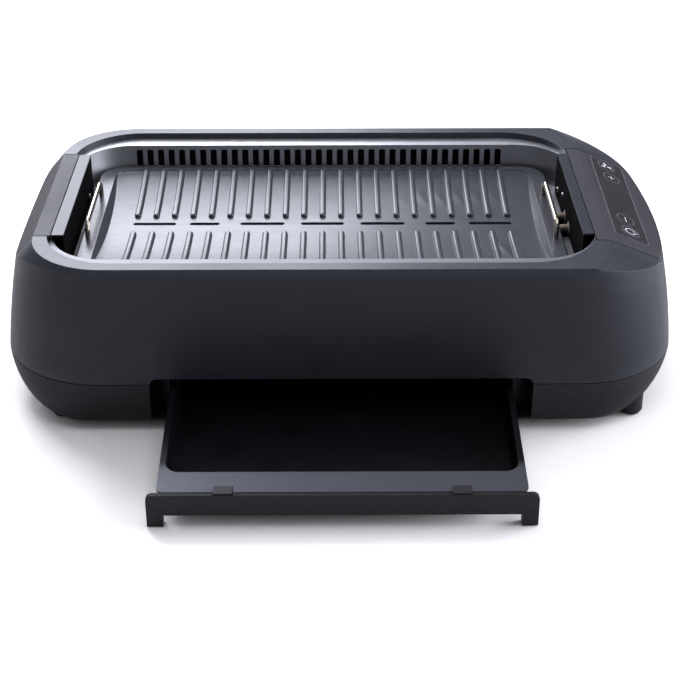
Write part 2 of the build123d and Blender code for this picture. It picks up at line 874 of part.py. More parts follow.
def runner(side):
    """Rail that wraps the edge of the tray's flange along its slide."""
    y0 = (runner_start - drawer_front_y) / math.cos(tilt)
    y1 = (runner_end - drawer_front_y) / math.cos(tilt)
    face = tray_half_width + runner_clearance
    low = -tray_wall - runner_clearance
    high = runner_clearance
    inner = tray_half_width - tray_side_flange + 1
    bar = block(face, bay_half_width - bay_wall, y0, y1, low - runner_ledge, high + runner_lip)
    ledge = block(inner, face, y0, y1, low - runner_ledge, low)
    lip = block(face - 4, face, y0, y1, high, high + runner_lip)
    rail = bar + ledge + lip
    if side < 0:
        rail = mirror(rail, about=Plane.YZ)
    rail = tray_frame(rail)
    for y in runner_screw_places():
        rail = rail - runner_screw_hole(side, y, small_screw_radius)
    return rail


def runner_screw_places():
    """Positions of the runner screws along the slide."""
    return [runner_start + 30, runner_end - 30]


def runner_screw_hole(side, y, radius):
    """Hole for one runner screw, from outside the bay into the runner."""
    z = slide_height(y) - tray_wall / 2
    a = side * (bay_half_width - bay_wall - 4)
    b = side * (bay_half_width + 1)
    return Pos(drawer_center_x, 0, 0) * rod(radius, min(a, b), max(a, b), y=y, z=z, along="X")


def runner_screws():
    """Four screws that hold the runners to the bay walls."""
    screws = []
    for side in (-1, 1):
        for y in runner_screw_places():
            z = slide_height(y) - tray_wall / 2
            a = side * (bay_half_width - bay_wall - 4)
            b = side * bay_half_width
            c = side * (bay_half_width + small_head_height)
            shank = rod(small_screw_radius, min(a, b), max(a, b), y=y, z=z, along="X")
            head = rod(small_head_radius, min(b, c), max(b, c), y=y, z=z, along="X")
            screws.append(Pos(drawer_center_x, 0, 0) * (shank + head))
    return Compound(children=screws)


def bay_wall_profile():
    """Side wall of the drawer bay, its top rising with the slide."""
    y0 = -half_depth + recess_depth + 1
    y1 = bay_back
    step = y0 + shell_wall
    lift = runner_clearance + runner_lip + 1
    points = [(y0, base_bottom + 1), (y1, base_bottom + 1), (y1, slide_height(y1) + lift),
              (step, slide_height(step) + lift), (step, seam_height), (y0, seam_height)]
    return Plane.YZ * make_face(Polyline(points, close=True))


def base_tub():
    """Dark base with the recess, the drawer bay, screw bosses and cooling slots."""
    inside = base_inner & block(-400, 400, -400, 400, base_floor, seam_height)
    tub = base_outer - inside
    tub = tub + (recess_frame(base_bottom + 1, seam_height) & base_outer)
    for side in (-1, 1):
        wall = extrude(bay_wall_profile(), bay_wall)
        x = bay_half_width - bay_wall if side > 0 else -bay_half_width
        tub = tub + Pos(drawer_center_x + x, 0, 0) * wall
    tub = tub + block(drawer_center_x - bay_half_width, drawer_center_x + bay_half_width,
                      bay_back - bay_wall, bay_back, base_bottom + 1, seam_height)
    for x, y in boss_places():
        column = rod(boss_radius, base_bottom + 1, seam_height, x, y)
        web_end = math.copysign(half_depth, y)
        web = block(x - 1.5, x + 1.5, min(y, web_end), max(y, web_end), base_bottom + 1, seam_height)
        tub = tub + ((column + web) & base_outer)
        tub = tub - rod(screw_hole, 0, seam_height, x, y)
        tub = tub - rod(screw_head_recess, 0, base_floor + screw_head_height, x, y)
    tub = tub - recess_tool() - bay_door()
    for side in (-1, 1):
        for y in runner_screw_places():
            tub = tub - runner_screw_hole(side, y, small_screw_radius)
    tub = tub - rod(gland_radius, half_depth - 20, half_depth + 5, gland_x, z=gland_z, along="Y")
    for i in range(8):
        x = board_left + 8 + i * 10
        tub = tub - block(x, x + 3, -25, 25, 0, base_floor + 1)
    return tub - seam_groove()


def seam_groove():
    """Thin shadow line just under the seam."""
    depth = 0.6
    band = block(-400, 400, -400, 400, seam_height - depth, seam_height)
    core = extrude(Pos(0, 0, -2) * seam_outline(depth), 4)
    return band - core


def foot_places():
    """Plan position of each foot by name."""
    left = foot_center_x - foot_half_spacing
    right = foot_center_x + foot_half_spacing
    return {"front_left": (left, -foot_y), "front_right": (right, -foot_y),
            "rear_left": (left, foot_y), "rear_right": (right, foot_y)}


def foot(x, y):
    """Moulded foot under the curved base."""
    post = rod(foot_radius, pad_height, base_high, x, y)
    post = fillet(post.edges().group_by(Axis.Z)[0], foot_rounding)
    return post - base_outer


def foot_pad(x, y):
    """Rubber pad under a foot."""
    pad = rod(pad_radius - foot_rounding / 2, 0, pad_height, x, y)
    return fillet(pad.edges().group_by(Axis.Z)[0], 0.6)


def fan_housing():
    """Square duct with a round throat around the fan, on legs from the base floor."""
    x0 = fan_x - fan_box_half
    x1 = fan_x + fan_box_half
    z0 = fan_z - fan_box_half
    z1 = fan_z + fan_box_half
    w = fan_box_wall
    box = block(x0, x1, fan_box_front, fan_box_back, z0, z1)
    box = box - block(x0 + w, x1 - w, fan_box_front + w, fan_box_back + 1, z0 + w, z1 + 1)
    throat = block(x0 + w, x1 - w, fan_plate_front, fan_plate_front + fan_plate_thickness,
                   z0 + w, z1)
    box = box + throat
    box = box - rod(fan_bore, fan_plate_front - 1, fan_plate_front + 5, fan_x, z=fan_z, along="Y")
    leg_back = half_depth - base_bottom_tuck_front - base_wall - 2
    for x in (x0, x1 - w):
        box = box + block(x, x + w, fan_box_front, leg_back, base_floor, z0)
    return box


def fan_impeller():
    """Axial impeller with tilted blades."""
    hub = rod(hub_radius, hub_front, hub_front + hub_length, 0, along="Y")
    middle = hub_front + hub_length / 2
    tip = fan_bore - fan_tip_gap
    wheel = hub
    for i in range(blade_count):
        blade = Box(tip - hub_radius + 2, blade_chord, blade_thickness)
        blade = Rot(blade_angle, 0, 0) * blade
        blade = Pos((tip + hub_radius - 2) / 2, middle, 0) * blade
        blade = Rot(0, i * 360 / blade_count, 0) * blade
        wheel = wheel + blade
    wheel = wheel & rod(tip, hub_front, hub_front + hub_length, 0, along="Y")
    wheel = wheel - rod(shaft_radius, hub_front - 1, hub_front + hub_length + 1, 0, along="Y")
    return Pos(fan_x, 0, fan_z) * wheel


def fan_shaft():
    """Shaft that the impeller is pressed onto."""
    start = fan_box_front + fan_box_wall + 1.5
    return rod(shaft_radius, start, hub_front + hub_length + 1, fan_x, z=fan_z, along="Y")


def fan_motor():
    """Flat motor fixed to the front wall of the fan housing."""
    start = fan_box_front + fan_box_wall
    can = rod(motor_radius, start, start + motor_length, 0, along="Y")
    nose = rod(motor_radius / 2, start, start + motor_length + 0.8, 0, along="Y")
    body = can + nose
    body = body - rod(shaft_radius + shaft_clearance, start + 1, start + motor_length + 2, 0,
                      along="Y")
    return Pos(fan_x, 0, fan_z) * body


def grille_zone():
    """Opening in the back wall of the shell for the exhaust grille."""
    return block(fan_x - grille_half_width, fan_x + grille_half_width, half_depth - 15,
                 half_depth + 5, grille_bottom, grille_top)


def exhaust_grille():
    """Slotted panel, flush with the back of the shell."""
    panel = shell_outer & grille_zone()
    depth = half_depth - mid_lean_front - grille_thickness - 0.6
    panel = panel & block(-400, 400, depth, 400, 0, total_height)
    first = fan_x - grille_pitch * (grille_slots - 1) / 2
    for i in range(grille_slots):
        x = first + i * grille_pitch
        panel = panel - block(x - grille_slot_width / 2, x + grille_slot_width / 2,
                              half_depth - 20, half_depth + 5, grille_bottom + grille_margin,
                              grille_top - grille_margin)
    return panel


def board_corners():
    """Four corners of the power board, where its screws go."""
    xs = (board_left + board_hole_inset, board_right - board_hole_inset)
    ys = (-board_half_depth + board_hole_inset, board_half_depth - board_hole_inset)
    return [(x, y) for x in xs for y in ys]


def board_standoffs():
    """Four posts under the power board."""
    posts = []
    top = base_floor + standoff_height
    for x, y in board_corners():
        post = rod(standoff_radius, base_floor, top, x, y)
        posts.append(post - rod(small_screw_radius + snug, base_floor + 2, top + 1, x, y))
    return Compound(children=posts)


def power_board():
    """Power board with relay, transformer, capacitors and a terminal block."""
    z0 = base_floor + standoff_height
    z1 = z0 + board_thickness
    board = block(board_left, board_right, -board_half_depth, board_half_depth, z0, z1)
    for x, y in board_corners():
        board = board - rod(small_screw_radius + snug, z0 - 1, z1 + 1, x, y)
    relay = block(board_left + 14, board_left + 34, -40, -10, z1 - 0.5, z1 + 16)
    transformer = block(board_left + 42, board_left + 70, -38, -8, z1 - 0.5, z1 + 22)
    terminals = block(board_left + 12, board_left + 24, 12, 42, z1 - 0.5, z1 + 11)
    board = board + relay + transformer + terminals
    for i in range(3):
        board = board + rod(5, z1 - 0.5, z1 + 14, board_left + 38 + i * 14, 28)
    return board


def board_screws():
    """Four screws that hold the power board."""
    screws = []
    z1 = base_floor + standoff_height + board_thickness
    for x, y in board_corners():
        shank = rod(small_screw_radius, base_floor + 3, z1, x, y)
        head = rod(small_head_radius, z1, z1 + small_head_height, x, y)
        screws.append(shank + head)
    return Compound(children=screws)


def heat_shield():
    """Bent sheet between the hot pan and the electronics."""
    leg = block(shield_x, shield_x + sheet, -shield_half_depth, shield_half_depth,
                base_floor, shield_z)
    roof = block(shield_x, shield_right, -shield_half_depth, shield_half_depth,
                 shield_z - sheet, shield_z)
    return leg + roof


def cord_gland():
    """Gland in the back wall for the mains cord."""
    body = rod(gland_radius, half_depth - gland_inside, half_depth, 0, along="Y")
    flange = rod(gland_flange, half_depth, half_depth + gland_flange_length, 0, along="Y")
    flange = fillet(flange.edges().group_by(Axis.Y)[-1], 1.5)
    gland = body + flange
    gland = gland - rod(gland_bore, half_depth - gland_inside - 1, rear_most + 1, 0, along="Y")
    return Pos(gland_x, 0, gland_z) * gland


def gland_nut():
    """Hexagon nut that holds the gland from inside."""
    face = RegularPolygon(gland_nut_width / 2, 6, major_radius=False)
    nut = Rot(-90, 0, 0) * extrude(face, gland_nut_length)
    nut = Pos(0, half_depth - gland_nut_setback - gland_nut_length, 0) * nut
    nut = nut - rod(gland_radius, 0, half_depth, 0, along="Y")
    return Pos(gland_x, 0, gland_z) * nut


def shell_screws():
    """Four long screws that join the base to the upper shell."""
    screws = []
    for x, y in boss_places():
        head_top = base_floor + screw_head_height
        head = rod(screw_head_radius, base_floor, head_top, x, y)
        shank = rod(screw_radius, head_top, base_floor + screw_length, x, y)
        screws.append(head + shank)
    return Compound(children=screws)


def main():
    """Build and write every piece."""
    save("upper_shell", upper_shell())
    save("left_end_cap", left_end_cap())
    save("control_cap", control_cap())
    save("control_window", control_window())
    save("control_board", control_board())
    save("left_inner_strip", left_inner_strip())
    save("right_inner_strip", right_inner_strip())
    save("rear_liner", rear_liner())
    save("front_liner", front_liner())
    save("grill_plate", grill_plate())
    save("left_plate_handle", plate_handle(-1))
    save("right_plate_handle", plate_handle(1))
    save("heating_element", heating_element())
    save("element_terminals", element_terminals())
    save("element_supports", element_supports())
    save("reflector_pan", reflector_pan())
    save("thermostat_sensor", thermostat_sensor())
    save("thermal_fuse", thermal_fuse())
    save("drip_tray", drip_tray())
    save("drawer_front", drawer_front())
    save("left_runner", runner(-1))
    save("right_runner", runner(1))
    save("runner_screws", runner_screws())
    save("base_tub", base_tub())
    for name, (x, y) in foot_places().items():
        save(f"foot_{name}", foot(x, y))
        save(f"foot_pad_{name}", foot_pad(x, y))
    save("fan_housing", fan_housing())
    save("fan_impeller", fan_impeller())
    save("fan_shaft", fan_shaft())
    save("fan_motor", fan_motor())
    save("exhaust_grille", exhaust_grille())
    save("board_standoffs", board_standoffs())
    save("power_board", power_board())
    save("board_screws", board_screws())
    save("heat_shield", heat_shield())
    save("cord_gland", cord_gland())
    save("gland_nut", gland_nut())
    save("shell_screws", shell_screws())


main()
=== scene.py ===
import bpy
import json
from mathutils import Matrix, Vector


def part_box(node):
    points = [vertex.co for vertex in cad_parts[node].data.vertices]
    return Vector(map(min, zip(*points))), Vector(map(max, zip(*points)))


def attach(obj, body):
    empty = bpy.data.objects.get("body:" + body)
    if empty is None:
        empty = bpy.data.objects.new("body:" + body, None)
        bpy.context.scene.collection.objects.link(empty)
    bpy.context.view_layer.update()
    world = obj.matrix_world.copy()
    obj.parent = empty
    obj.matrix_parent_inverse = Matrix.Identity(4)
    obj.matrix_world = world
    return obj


bl_info = {
    "name": "Smokeless electric grill",
    "version": (1, 0, 0),
    "blender": (4, 5, 0),
    "location": "3D View > Sidebar > Grill",
    "description": "Finishes, printed signs and small fittings of a smokeless electric grill",
    "category": "Object",
}

import json
import math

import bmesh
import bpy
from bpy.props import FloatProperty, FloatVectorProperty, StringProperty
from mathutils import Matrix, Vector

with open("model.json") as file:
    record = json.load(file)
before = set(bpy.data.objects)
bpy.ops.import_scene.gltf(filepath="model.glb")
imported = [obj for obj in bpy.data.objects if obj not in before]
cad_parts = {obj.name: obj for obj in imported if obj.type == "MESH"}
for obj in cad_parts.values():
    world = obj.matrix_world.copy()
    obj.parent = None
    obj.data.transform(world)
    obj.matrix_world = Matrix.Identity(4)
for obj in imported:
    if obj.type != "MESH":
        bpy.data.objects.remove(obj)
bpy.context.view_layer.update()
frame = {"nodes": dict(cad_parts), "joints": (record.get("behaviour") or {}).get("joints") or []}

MM = 0.001

# Noise mostly keeps to this range, so a pattern made from it is stretched from there.
NOISE_RANGE = {"From Min": 0.3, "From Max": 0.7}

# A mix of colours: input 0 is the share, 6 and 7 are the two colours, output 2 is the result.
COLOUR_MIX = {"data_type": "RGBA"}


# Colour and node helpers

def linear(code):
    """Turn an sRGB hex colour into linear RGBA."""
    values = [int(code.lstrip("#")[i:i + 2], 16) / 255 for i in (0, 2, 4)]
    return tuple(v / 12.92 if v <= 0.04045 else ((v + 0.055) / 1.055) ** 2.4
                 for v in values) + (1.0,)


def toned(colour, factor, lift=0.0):
    """A lighter or darker tone of a linear colour."""
    return tuple(min(1.0, c * factor + lift) for c in colour[:3]) + (1.0,)


def add_node(tree, kind, settings=None, links=None):
    """Add one node. Settings are properties or input values, links are the sockets that feed it."""
    node = tree.nodes.new(kind)
    for key, value in (settings or {}).items():
        if isinstance(key, str) and key in node.bl_rna.properties:
            setattr(node, key, value)
        else:
            node.inputs[key].default_value = value
    for key, source in (links or {}).items():
        if isinstance(source, bpy.types.NodeSocket):
            tree.links.new(source, node.inputs[key])
        else:
            node.inputs[key].default_value = source
    return node


def new_finish(name):
    """Start an empty material; return it and its node tree."""
    material = bpy.data.materials.new(name)
    material.use_nodes = True
    material.node_tree.nodes.clear()
    return material, material.node_tree


def surface(tree, constants, patterns):
    """End a material with one shader that has these constants and patterns."""
    shader = add_node(tree, "ShaderNodeBsdfPrincipled", constants, patterns)
    add_node(tree, "ShaderNodeOutputMaterial", links={"Surface": shader.outputs[0]})


def place_on(tree, stretch=(1.0, 1.0, 1.0)):
    """Position on the piece in metres, squeezed by a factor along each axis."""
    where = add_node(tree, "ShaderNodeTexCoord")
    scaled = add_node(tree, "ShaderNodeMapping", {"Scale": stretch},
                      {"Vector": where.outputs["Object"]})
    return scaled.outputs[0]


def scale_for(grain_mm):
    """Scale of a pattern whose grains are about this many millimetres wide."""
    return 1.0 / (grain_mm * MM)


def relief(tree, height, depth_mm, strength, rounding_mm=0.0):
    """Bump of this real depth, on edges that are softened by a small radius."""
    links = {"Height": height}
    if rounding_mm:
        soft_edge = add_node(tree, "ShaderNodeBevel", {"samples": 4, "Radius": rounding_mm * MM})
        links["Normal"] = soft_edge.outputs[0]
    return add_node(tree, "ShaderNodeBump", {"Distance": depth_mm * MM, "Strength": strength},
                    links).outputs[0]


def pale_edge_mask(tree, patch_mm):
    """White in patches on sharp outer edges."""
    geometry = add_node(tree, "ShaderNodeNewGeometry")
    edge = add_node(tree, "ShaderNodeMapRange", {"From Min": 0.51, "From Max": 0.57},
                    {"Value": geometry.outputs["Pointiness"]})
    patchy = add_node(tree, "ShaderNodeTexNoise", {"Scale": scale_for(patch_mm), "Detail": 2.0},
                      {"Vector": place_on(tree)}).outputs[0]
    return add_node(tree, "ShaderNodeMath", {"operation": "MULTIPLY"},
                    {0: edge.outputs[0], 1: patchy}).outputs[0]


def painted_gap_shade_mask(tree, reach_mm):
    """White in narrow gaps: the mask of the shade painted there."""
    shade = add_node(tree, "ShaderNodeAmbientOcclusion", {"samples": 6, "Distance": reach_mm * MM})
    return add_node(tree, "ShaderNodeMapRange",
                    {"From Min": 0.15, "From Max": 0.55, "To Min": 1.0, "To Max": 0.0},
                    {"Value": shade.outputs["AO"]}).outputs[0]


def dress(node, material):
    """Put a finish on a CAD node."""
    mesh = frame["nodes"][node].data
    if not mesh.materials:
        mesh.materials.append(material)
    for index in range(len(mesh.materials)):
        mesh.materials[index] = material


# Finishes

def moulded_plastic(name, colour, grain_mm, depth_mm, roughness, tint, rounding_mm):
    """Injection moulded plastic, mostly ABS, from a spark-eroded mould."""
    # To the eye: a soft gloss that the fine grain breaks up, paler on outer edges, with painted
    # shade in its gaps.
    # The real grain is about 0.1 mm wide and is drawn 1 to 2 mm wide, so that it shows.
    material, tree = new_finish(name)
    grain = add_node(tree, "ShaderNodeTexNoise", {"Scale": scale_for(grain_mm), "Detail": 3.0},
                     {"Vector": place_on(tree)}).outputs[0]
    cloud = add_node(tree, "ShaderNodeTexNoise", {"Scale": scale_for(55.0), "Detail": 1.0},
                     {"Vector": place_on(tree)}).outputs[0]
    body = add_node(tree, "ShaderNodeMix", COLOUR_MIX,
                    {0: cloud, 6: toned(colour, 1 - tint), 7: toned(colour, 1 + tint)})
    # Paler colour in patches on sharp outer edges.
    pale_edged = add_node(tree, "ShaderNodeMix", COLOUR_MIX,
                    {0: pale_edge_mask(tree, 6.0), 6: body.outputs[2], 7: toned(colour, 1.7, 0.01)})
    # Painted shade: near black colour and no specular in narrow gaps, from an occlusion mask.
    gap_shade = painted_gap_shade_mask(tree, 3.0)
    shaded = add_node(tree, "ShaderNodeMix", COLOUR_MIX,
                      {0: gap_shade, 6: pale_edged.outputs[2], 7: linear("#030303")})
    gloss = add_node(tree, "ShaderNodeMapRange", {"To Min": 0.4, "To Max": 0.0}, {"Value": gap_shade})
    rough = add_node(tree, "ShaderNodeMapRange",
                     {**NOISE_RANGE, "To Min": roughness - 0.03, "To Max": roughness + 0.03},
                     {"Value": cloud})
    surface(tree, {"IOR": 1.53},
            {"Base Color": shaded.outputs[2], "Specular IOR Level": gloss.outputs[0],
             "Roughness": rough.outputs[0],
             "Normal": relief(tree, grain, depth_mm, 0.5, rounding_mm)})
    return material


def strip_plastic(name, colour, below, top):
    """Glass filled PBT strip, moulded."""
    # To the eye: satin on its top, near black and with little gloss on its walls below its edge.
    # The real grain is about 0.2 mm wide and is drawn 1.1 mm wide, so that it shows.
    material, tree = new_finish(name)
    height = add_node(tree, "ShaderNodeSeparateXYZ", links={0: place_on(tree)})
    below_edge = add_node(tree, "ShaderNodeMapRange",
                     {"From Min": top - 1.6 * MM, "From Max": top - 0.9 * MM,
                      "To Min": 1.0, "To Max": 0.0}, {"Value": height.outputs["Z"]}).outputs[0]
    cloud = add_node(tree, "ShaderNodeTexNoise", {"Scale": scale_for(12.0), "Detail": 3.0},
                     {"Vector": place_on(tree)}).outputs[0]
    grain = add_node(tree, "ShaderNodeTexNoise", {"Scale": scale_for(1.1), "Detail": 2.0},
                     {"Vector": place_on(tree)}).outputs[0]
    plain = add_node(tree, "ShaderNodeMix", COLOUR_MIX,
                     {0: cloud, 6: toned(colour, 0.92), 7: colour})
    dark = add_node(tree, "ShaderNodeMix", COLOUR_MIX, {0: cloud, 6: below, 7: toned(below, 1.6)})
    both = add_node(tree, "ShaderNodeMix", COLOUR_MIX,
                    {0: below_edge, 6: plain.outputs[2], 7: dark.outputs[2]})
    rough = add_node(tree, "ShaderNodeMapRange", {"To Min": 0.36, "To Max": 0.85}, {"Value": below_edge})
    gloss = add_node(tree, "ShaderNodeMapRange", {"To Min": 0.4, "To Max": 0.05}, {"Value": below_edge})
    surface(tree, {"IOR": 1.55},
            {"Base Color": both.outputs[2], "Roughness": rough.outputs[0],
             "Specular IOR Level": gloss.outputs[0],
             "Normal": relief(tree, grain, 0.06, 0.5, 0.3)})
    return material


def brushed_sheet(name, colour, roughness, brush=(0.02, 1.0, 1.0)):
    """Rolled steel sheet; a brush of ones on all axes leaves it plain rolled or plated."""
    # To the eye: marks along one way that streak its reflections, under a few broad smudges.
    # Real brushing marks are about 0.05 mm apart and are drawn 0.9 mm apart, so that they show.
    material, tree = new_finish(name)
    lines = add_node(tree, "ShaderNodeTexNoise", {"Scale": scale_for(0.9), "Detail": 4.0},
                     {"Vector": place_on(tree, brush)}).outputs[0]
    broad = add_node(tree, "ShaderNodeTexNoise", {"Scale": scale_for(9.0), "Detail": 2.0},
                     {"Vector": place_on(tree, brush)}).outputs[0]
    smudge = add_node(tree, "ShaderNodeTexNoise", {"Scale": scale_for(38.0), "Detail": 2.0},
                      {"Vector": place_on(tree)}).outputs[0]
    sheen = add_node(tree, "ShaderNodeMix", COLOUR_MIX,
                     {0: broad, 6: toned(colour, 0.86), 7: colour})
    uneven = add_node(tree, "ShaderNodeMath", {"operation": "MULTIPLY_ADD", 1: 0.35},
                      {0: smudge, 2: lines})
    rough = add_node(tree, "ShaderNodeMapRange",
                     {**NOISE_RANGE, "To Min": roughness - 0.06, "To Max": roughness + 0.10},
                     {"Value": uneven.outputs[0]})
    surface(tree, {"Metallic": 1.0},
            {"Base Color": sheen.outputs[2], "Roughness": rough.outputs[0],
             "Normal": relief(tree, lines, 0.03, 0.35, 0.3)})
    return material


def non_stick_casting(name, colour, roughness):
    """Cast aluminium under a sprayed and baked non-stick coat."""
    # To the eye: dark and faintly metallic, with a fine stipple and a few bright flakes.
    # Real stipple is about 0.3 mm and flakes 0.1 mm; both are drawn over 1 mm, so that they show.
    material, tree = new_finish(name)
    stipple = add_node(tree, "ShaderNodeTexNoise", {"Scale": scale_for(1.1), "Detail": 3.0},
                       {"Vector": place_on(tree)}).outputs[0]
    turning = add_node(tree, "ShaderNodeTexNoise", {"Scale": scale_for(1.4), "Detail": 3.0},
                       {"Vector": place_on(tree, (0.06, 1.0, 1.0))}).outputs[0]
    cloud = add_node(tree, "ShaderNodeTexNoise", {"Scale": scale_for(42.0), "Detail": 2.0},
                     {"Vector": place_on(tree)}).outputs[0]
    speck = add_node(tree, "ShaderNodeTexVoronoi", {"Scale": scale_for(1.3)},
                     {"Vector": place_on(tree)})
    flake = add_node(tree, "ShaderNodeMapRange",
                     {"From Min": 0.0, "From Max": 0.16, "To Min": 1.0, "To Max": 0.0},
                     {"Value": speck.outputs["Distance"]})
    coat = add_node(tree, "ShaderNodeMix", COLOUR_MIX,
                    {0: cloud, 6: toned(colour, 0.82), 7: toned(colour, 1.25)})
    flecked = add_node(tree, "ShaderNodeMix", COLOUR_MIX,
                       {0: flake.outputs[0], 6: coat.outputs[2], 7: toned(colour, 3.2)})
    rough = add_node(tree, "ShaderNodeMapRange",
                     {**NOISE_RANGE, "To Min": roughness - 0.05, "To Max": roughness + 0.07},
                     {"Value": turning})
    height = add_node(tree, "ShaderNodeMath", {"operation": "ADD"}, {0: stipple, 1: turning})
    surface(tree, {"IOR": 1.62, "Metallic": 0.2, "Coat Weight": 0.25, "Coat Roughness": 0.22},
            {"Base Color": flecked.outputs[2], "Roughness": rough.outputs[0],
             "Normal": relief(tree, height.outputs[0], 0.05, 0.45, 0.6)})
    return material


def polished_wire(name, colour):
    """Drawn and polished stainless wire."""
    # To the eye: near mirror, with faint drawing lines and a warm cast where heat has been.
    # Real drawing lines are under 0.1 mm apart and are drawn 0.7 mm apart, so that they show.
    material, tree = new_finish(name)
    lines = add_node(tree, "ShaderNodeTexNoise", {"Scale": scale_for(0.7), "Detail": 2.0},
                     {"Vector": place_on(tree, (1.0, 0.05, 1.0))}).outputs[0]
    heat = add_node(tree, "ShaderNodeTexNoise", {"Scale": scale_for(14.0), "Detail": 1.0},
                    {"Vector": place_on(tree)}).outputs[0]
    warm = (colour[0] * 0.86, colour[1] * 0.77, colour[2] * 0.66, 1.0)
    tempered = add_node(tree, "ShaderNodeMix", COLOUR_MIX, {0: heat, 6: colour, 7: warm})
    rough = add_node(tree, "ShaderNodeMapRange", {**NOISE_RANGE, "To Min": 0.12, "To Max": 0.22},
                     {"Value": lines})
    surface(tree, {"Metallic": 1.0},
            {"Base Color": tempered.outputs[2], "Roughness": rough.outputs[0],
             "Normal": relief(tree, lines, 0.01, 0.3)})
    return material


def scaled_sheath(name, colour):
    """Nickel alloy sheath of a heating element, oxidised in use."""
    # To the eye: a dull, blotchy brown grey with tiny pits.
    # Real pits are about 0.2 mm wide and are drawn 0.8 mm wide, so that they show.
    material, tree = new_finish(name)
    blotch = add_node(tree, "ShaderNodeTexNoise", {"Scale": scale_for(7.0), "Detail": 4.0},
                      {"Vector": place_on(tree)}).outputs[0]
    pits = add_node(tree, "ShaderNodeTexNoise", {"Scale": scale_for(0.8), "Detail": 2.0},
                    {"Vector": place_on(tree)}).outputs[0]
    brown = (colour[0] * 0.75, colour[1] * 0.60, colour[2] * 0.48, 1.0)
    patches = add_node(tree, "ShaderNodeMapRange", NOISE_RANGE, {"Value": blotch})
    scale = add_node(tree, "ShaderNodeMix", COLOUR_MIX,
                     {0: patches.outputs[0], 6: colour, 7: brown})
    rough = add_node(tree, "ShaderNodeMapRange", {**NOISE_RANGE, "To Min": 0.38, "To Max": 0.62},
                     {"Value": blotch})
    surface(tree, {"Metallic": 0.85},
            {"Base Color": scale.outputs[2], "Roughness": rough.outputs[0],
             "Normal": relief(tree, pits, 0.03, 0.5)})
    return material


def coated_tray(name, inside, flange, tilt, top_point, strip_end):
    """Pressed aluminium tray with a rolled non-stick coat."""
    # To the eye: black inside, rubbed to a satin grey on the flat strip along its front.
    # Real orange peel is about 1 mm wide and is drawn 1.8 mm wide, so that it shows.
    material, tree = new_finish(name)
    spot = place_on(tree)
    offset = add_node(tree, "ShaderNodeVectorMath", {"operation": "SUBTRACT", 1: top_point},
                      {0: spot})
    across = add_node(tree, "ShaderNodeVectorMath",
                      {"operation": "DOT_PRODUCT", 1: (0.0, -math.sin(tilt), math.cos(tilt))},
                      {0: offset.outputs[0]})
    high = add_node(tree, "ShaderNodeMapRange", {"From Min": -1.9 * MM, "From Max": -1.5 * MM},
                    {"Value": across.outputs["Value"]})
    parts = add_node(tree, "ShaderNodeSeparateXYZ", links={0: spot})
    in_front = add_node(tree, "ShaderNodeMapRange",
                        {"From Min": strip_end, "From Max": strip_end + 8 * MM,
                         "To Min": 1.0, "To Max": 0.0}, {"Value": parts.outputs["Y"]})
    on_flange = add_node(tree, "ShaderNodeMath", {"operation": "MULTIPLY"},
                         {0: high.outputs[0], 1: in_front.outputs[0]}).outputs[0]
    peel = add_node(tree, "ShaderNodeTexNoise", {"Scale": scale_for(1.8), "Detail": 2.0},
                    {"Vector": place_on(tree)}).outputs[0]
    cloud = add_node(tree, "ShaderNodeTexNoise", {"Scale": scale_for(30.0), "Detail": 2.0},
                     {"Vector": place_on(tree)}).outputs[0]
    dark = add_node(tree, "ShaderNodeMix", COLOUR_MIX, {0: cloud, 6: inside, 7: toned(inside, 1.5)})
    pale = add_node(tree, "ShaderNodeMix", COLOUR_MIX,
                    {0: cloud, 6: flange, 7: toned(flange, 0.85)})
    both = add_node(tree, "ShaderNodeMix", COLOUR_MIX,
                    {0: on_flange, 6: dark.outputs[2], 7: pale.outputs[2]})
    bare = add_node(tree, "ShaderNodeMapRange", {"To Min": 0.0, "To Max": 0.55},
                    {"Value": on_flange})
    rough = add_node(tree, "ShaderNodeMapRange", {**NOISE_RANGE, "To Min": 0.34, "To Max": 0.42},
                     {"Value": cloud})
    surface(tree, {"IOR": 1.5, "Specular IOR Level": 0.25},
            {"Base Color": both.outputs[2], "Metallic": bare.outputs[0],
             "Roughness": rough.outputs[0], "Normal": relief(tree, peel, 0.03, 0.4, 0.5)})
    return material


def soft_rubber(name, colour):
    """Compression moulded rubber."""
    # To the eye: dead matt, with a dusty bloom.
    # The real grain is about 0.2 mm wide and is drawn 1 mm wide, so that it shows.
    material, tree = new_finish(name)
    dust = add_node(tree, "ShaderNodeTexNoise", {"Scale": scale_for(3.0), "Detail": 4.0},
                    {"Vector": place_on(tree)}).outputs[0]
    grain = add_node(tree, "ShaderNodeTexNoise", {"Scale": scale_for(1.0), "Detail": 2.0},
                     {"Vector": place_on(tree)}).outputs[0]
    bloom = add_node(tree, "ShaderNodeMix", COLOUR_MIX, {0: dust, 6: colour, 7: toned(colour, 2.2)})
    rough = add_node(tree, "ShaderNodeMapRange", {**NOISE_RANGE, "To Min": 0.75, "To Max": 0.9},
                     {"Value": dust})
    surface(tree, {"IOR": 1.52, "Sheen Weight": 0.15, "Sheen Roughness": 0.5},
            {"Base Color": bloom.outputs[2], "Roughness": rough.outputs[0],
             "Normal": relief(tree, grain, 0.04, 0.5)})
    return material


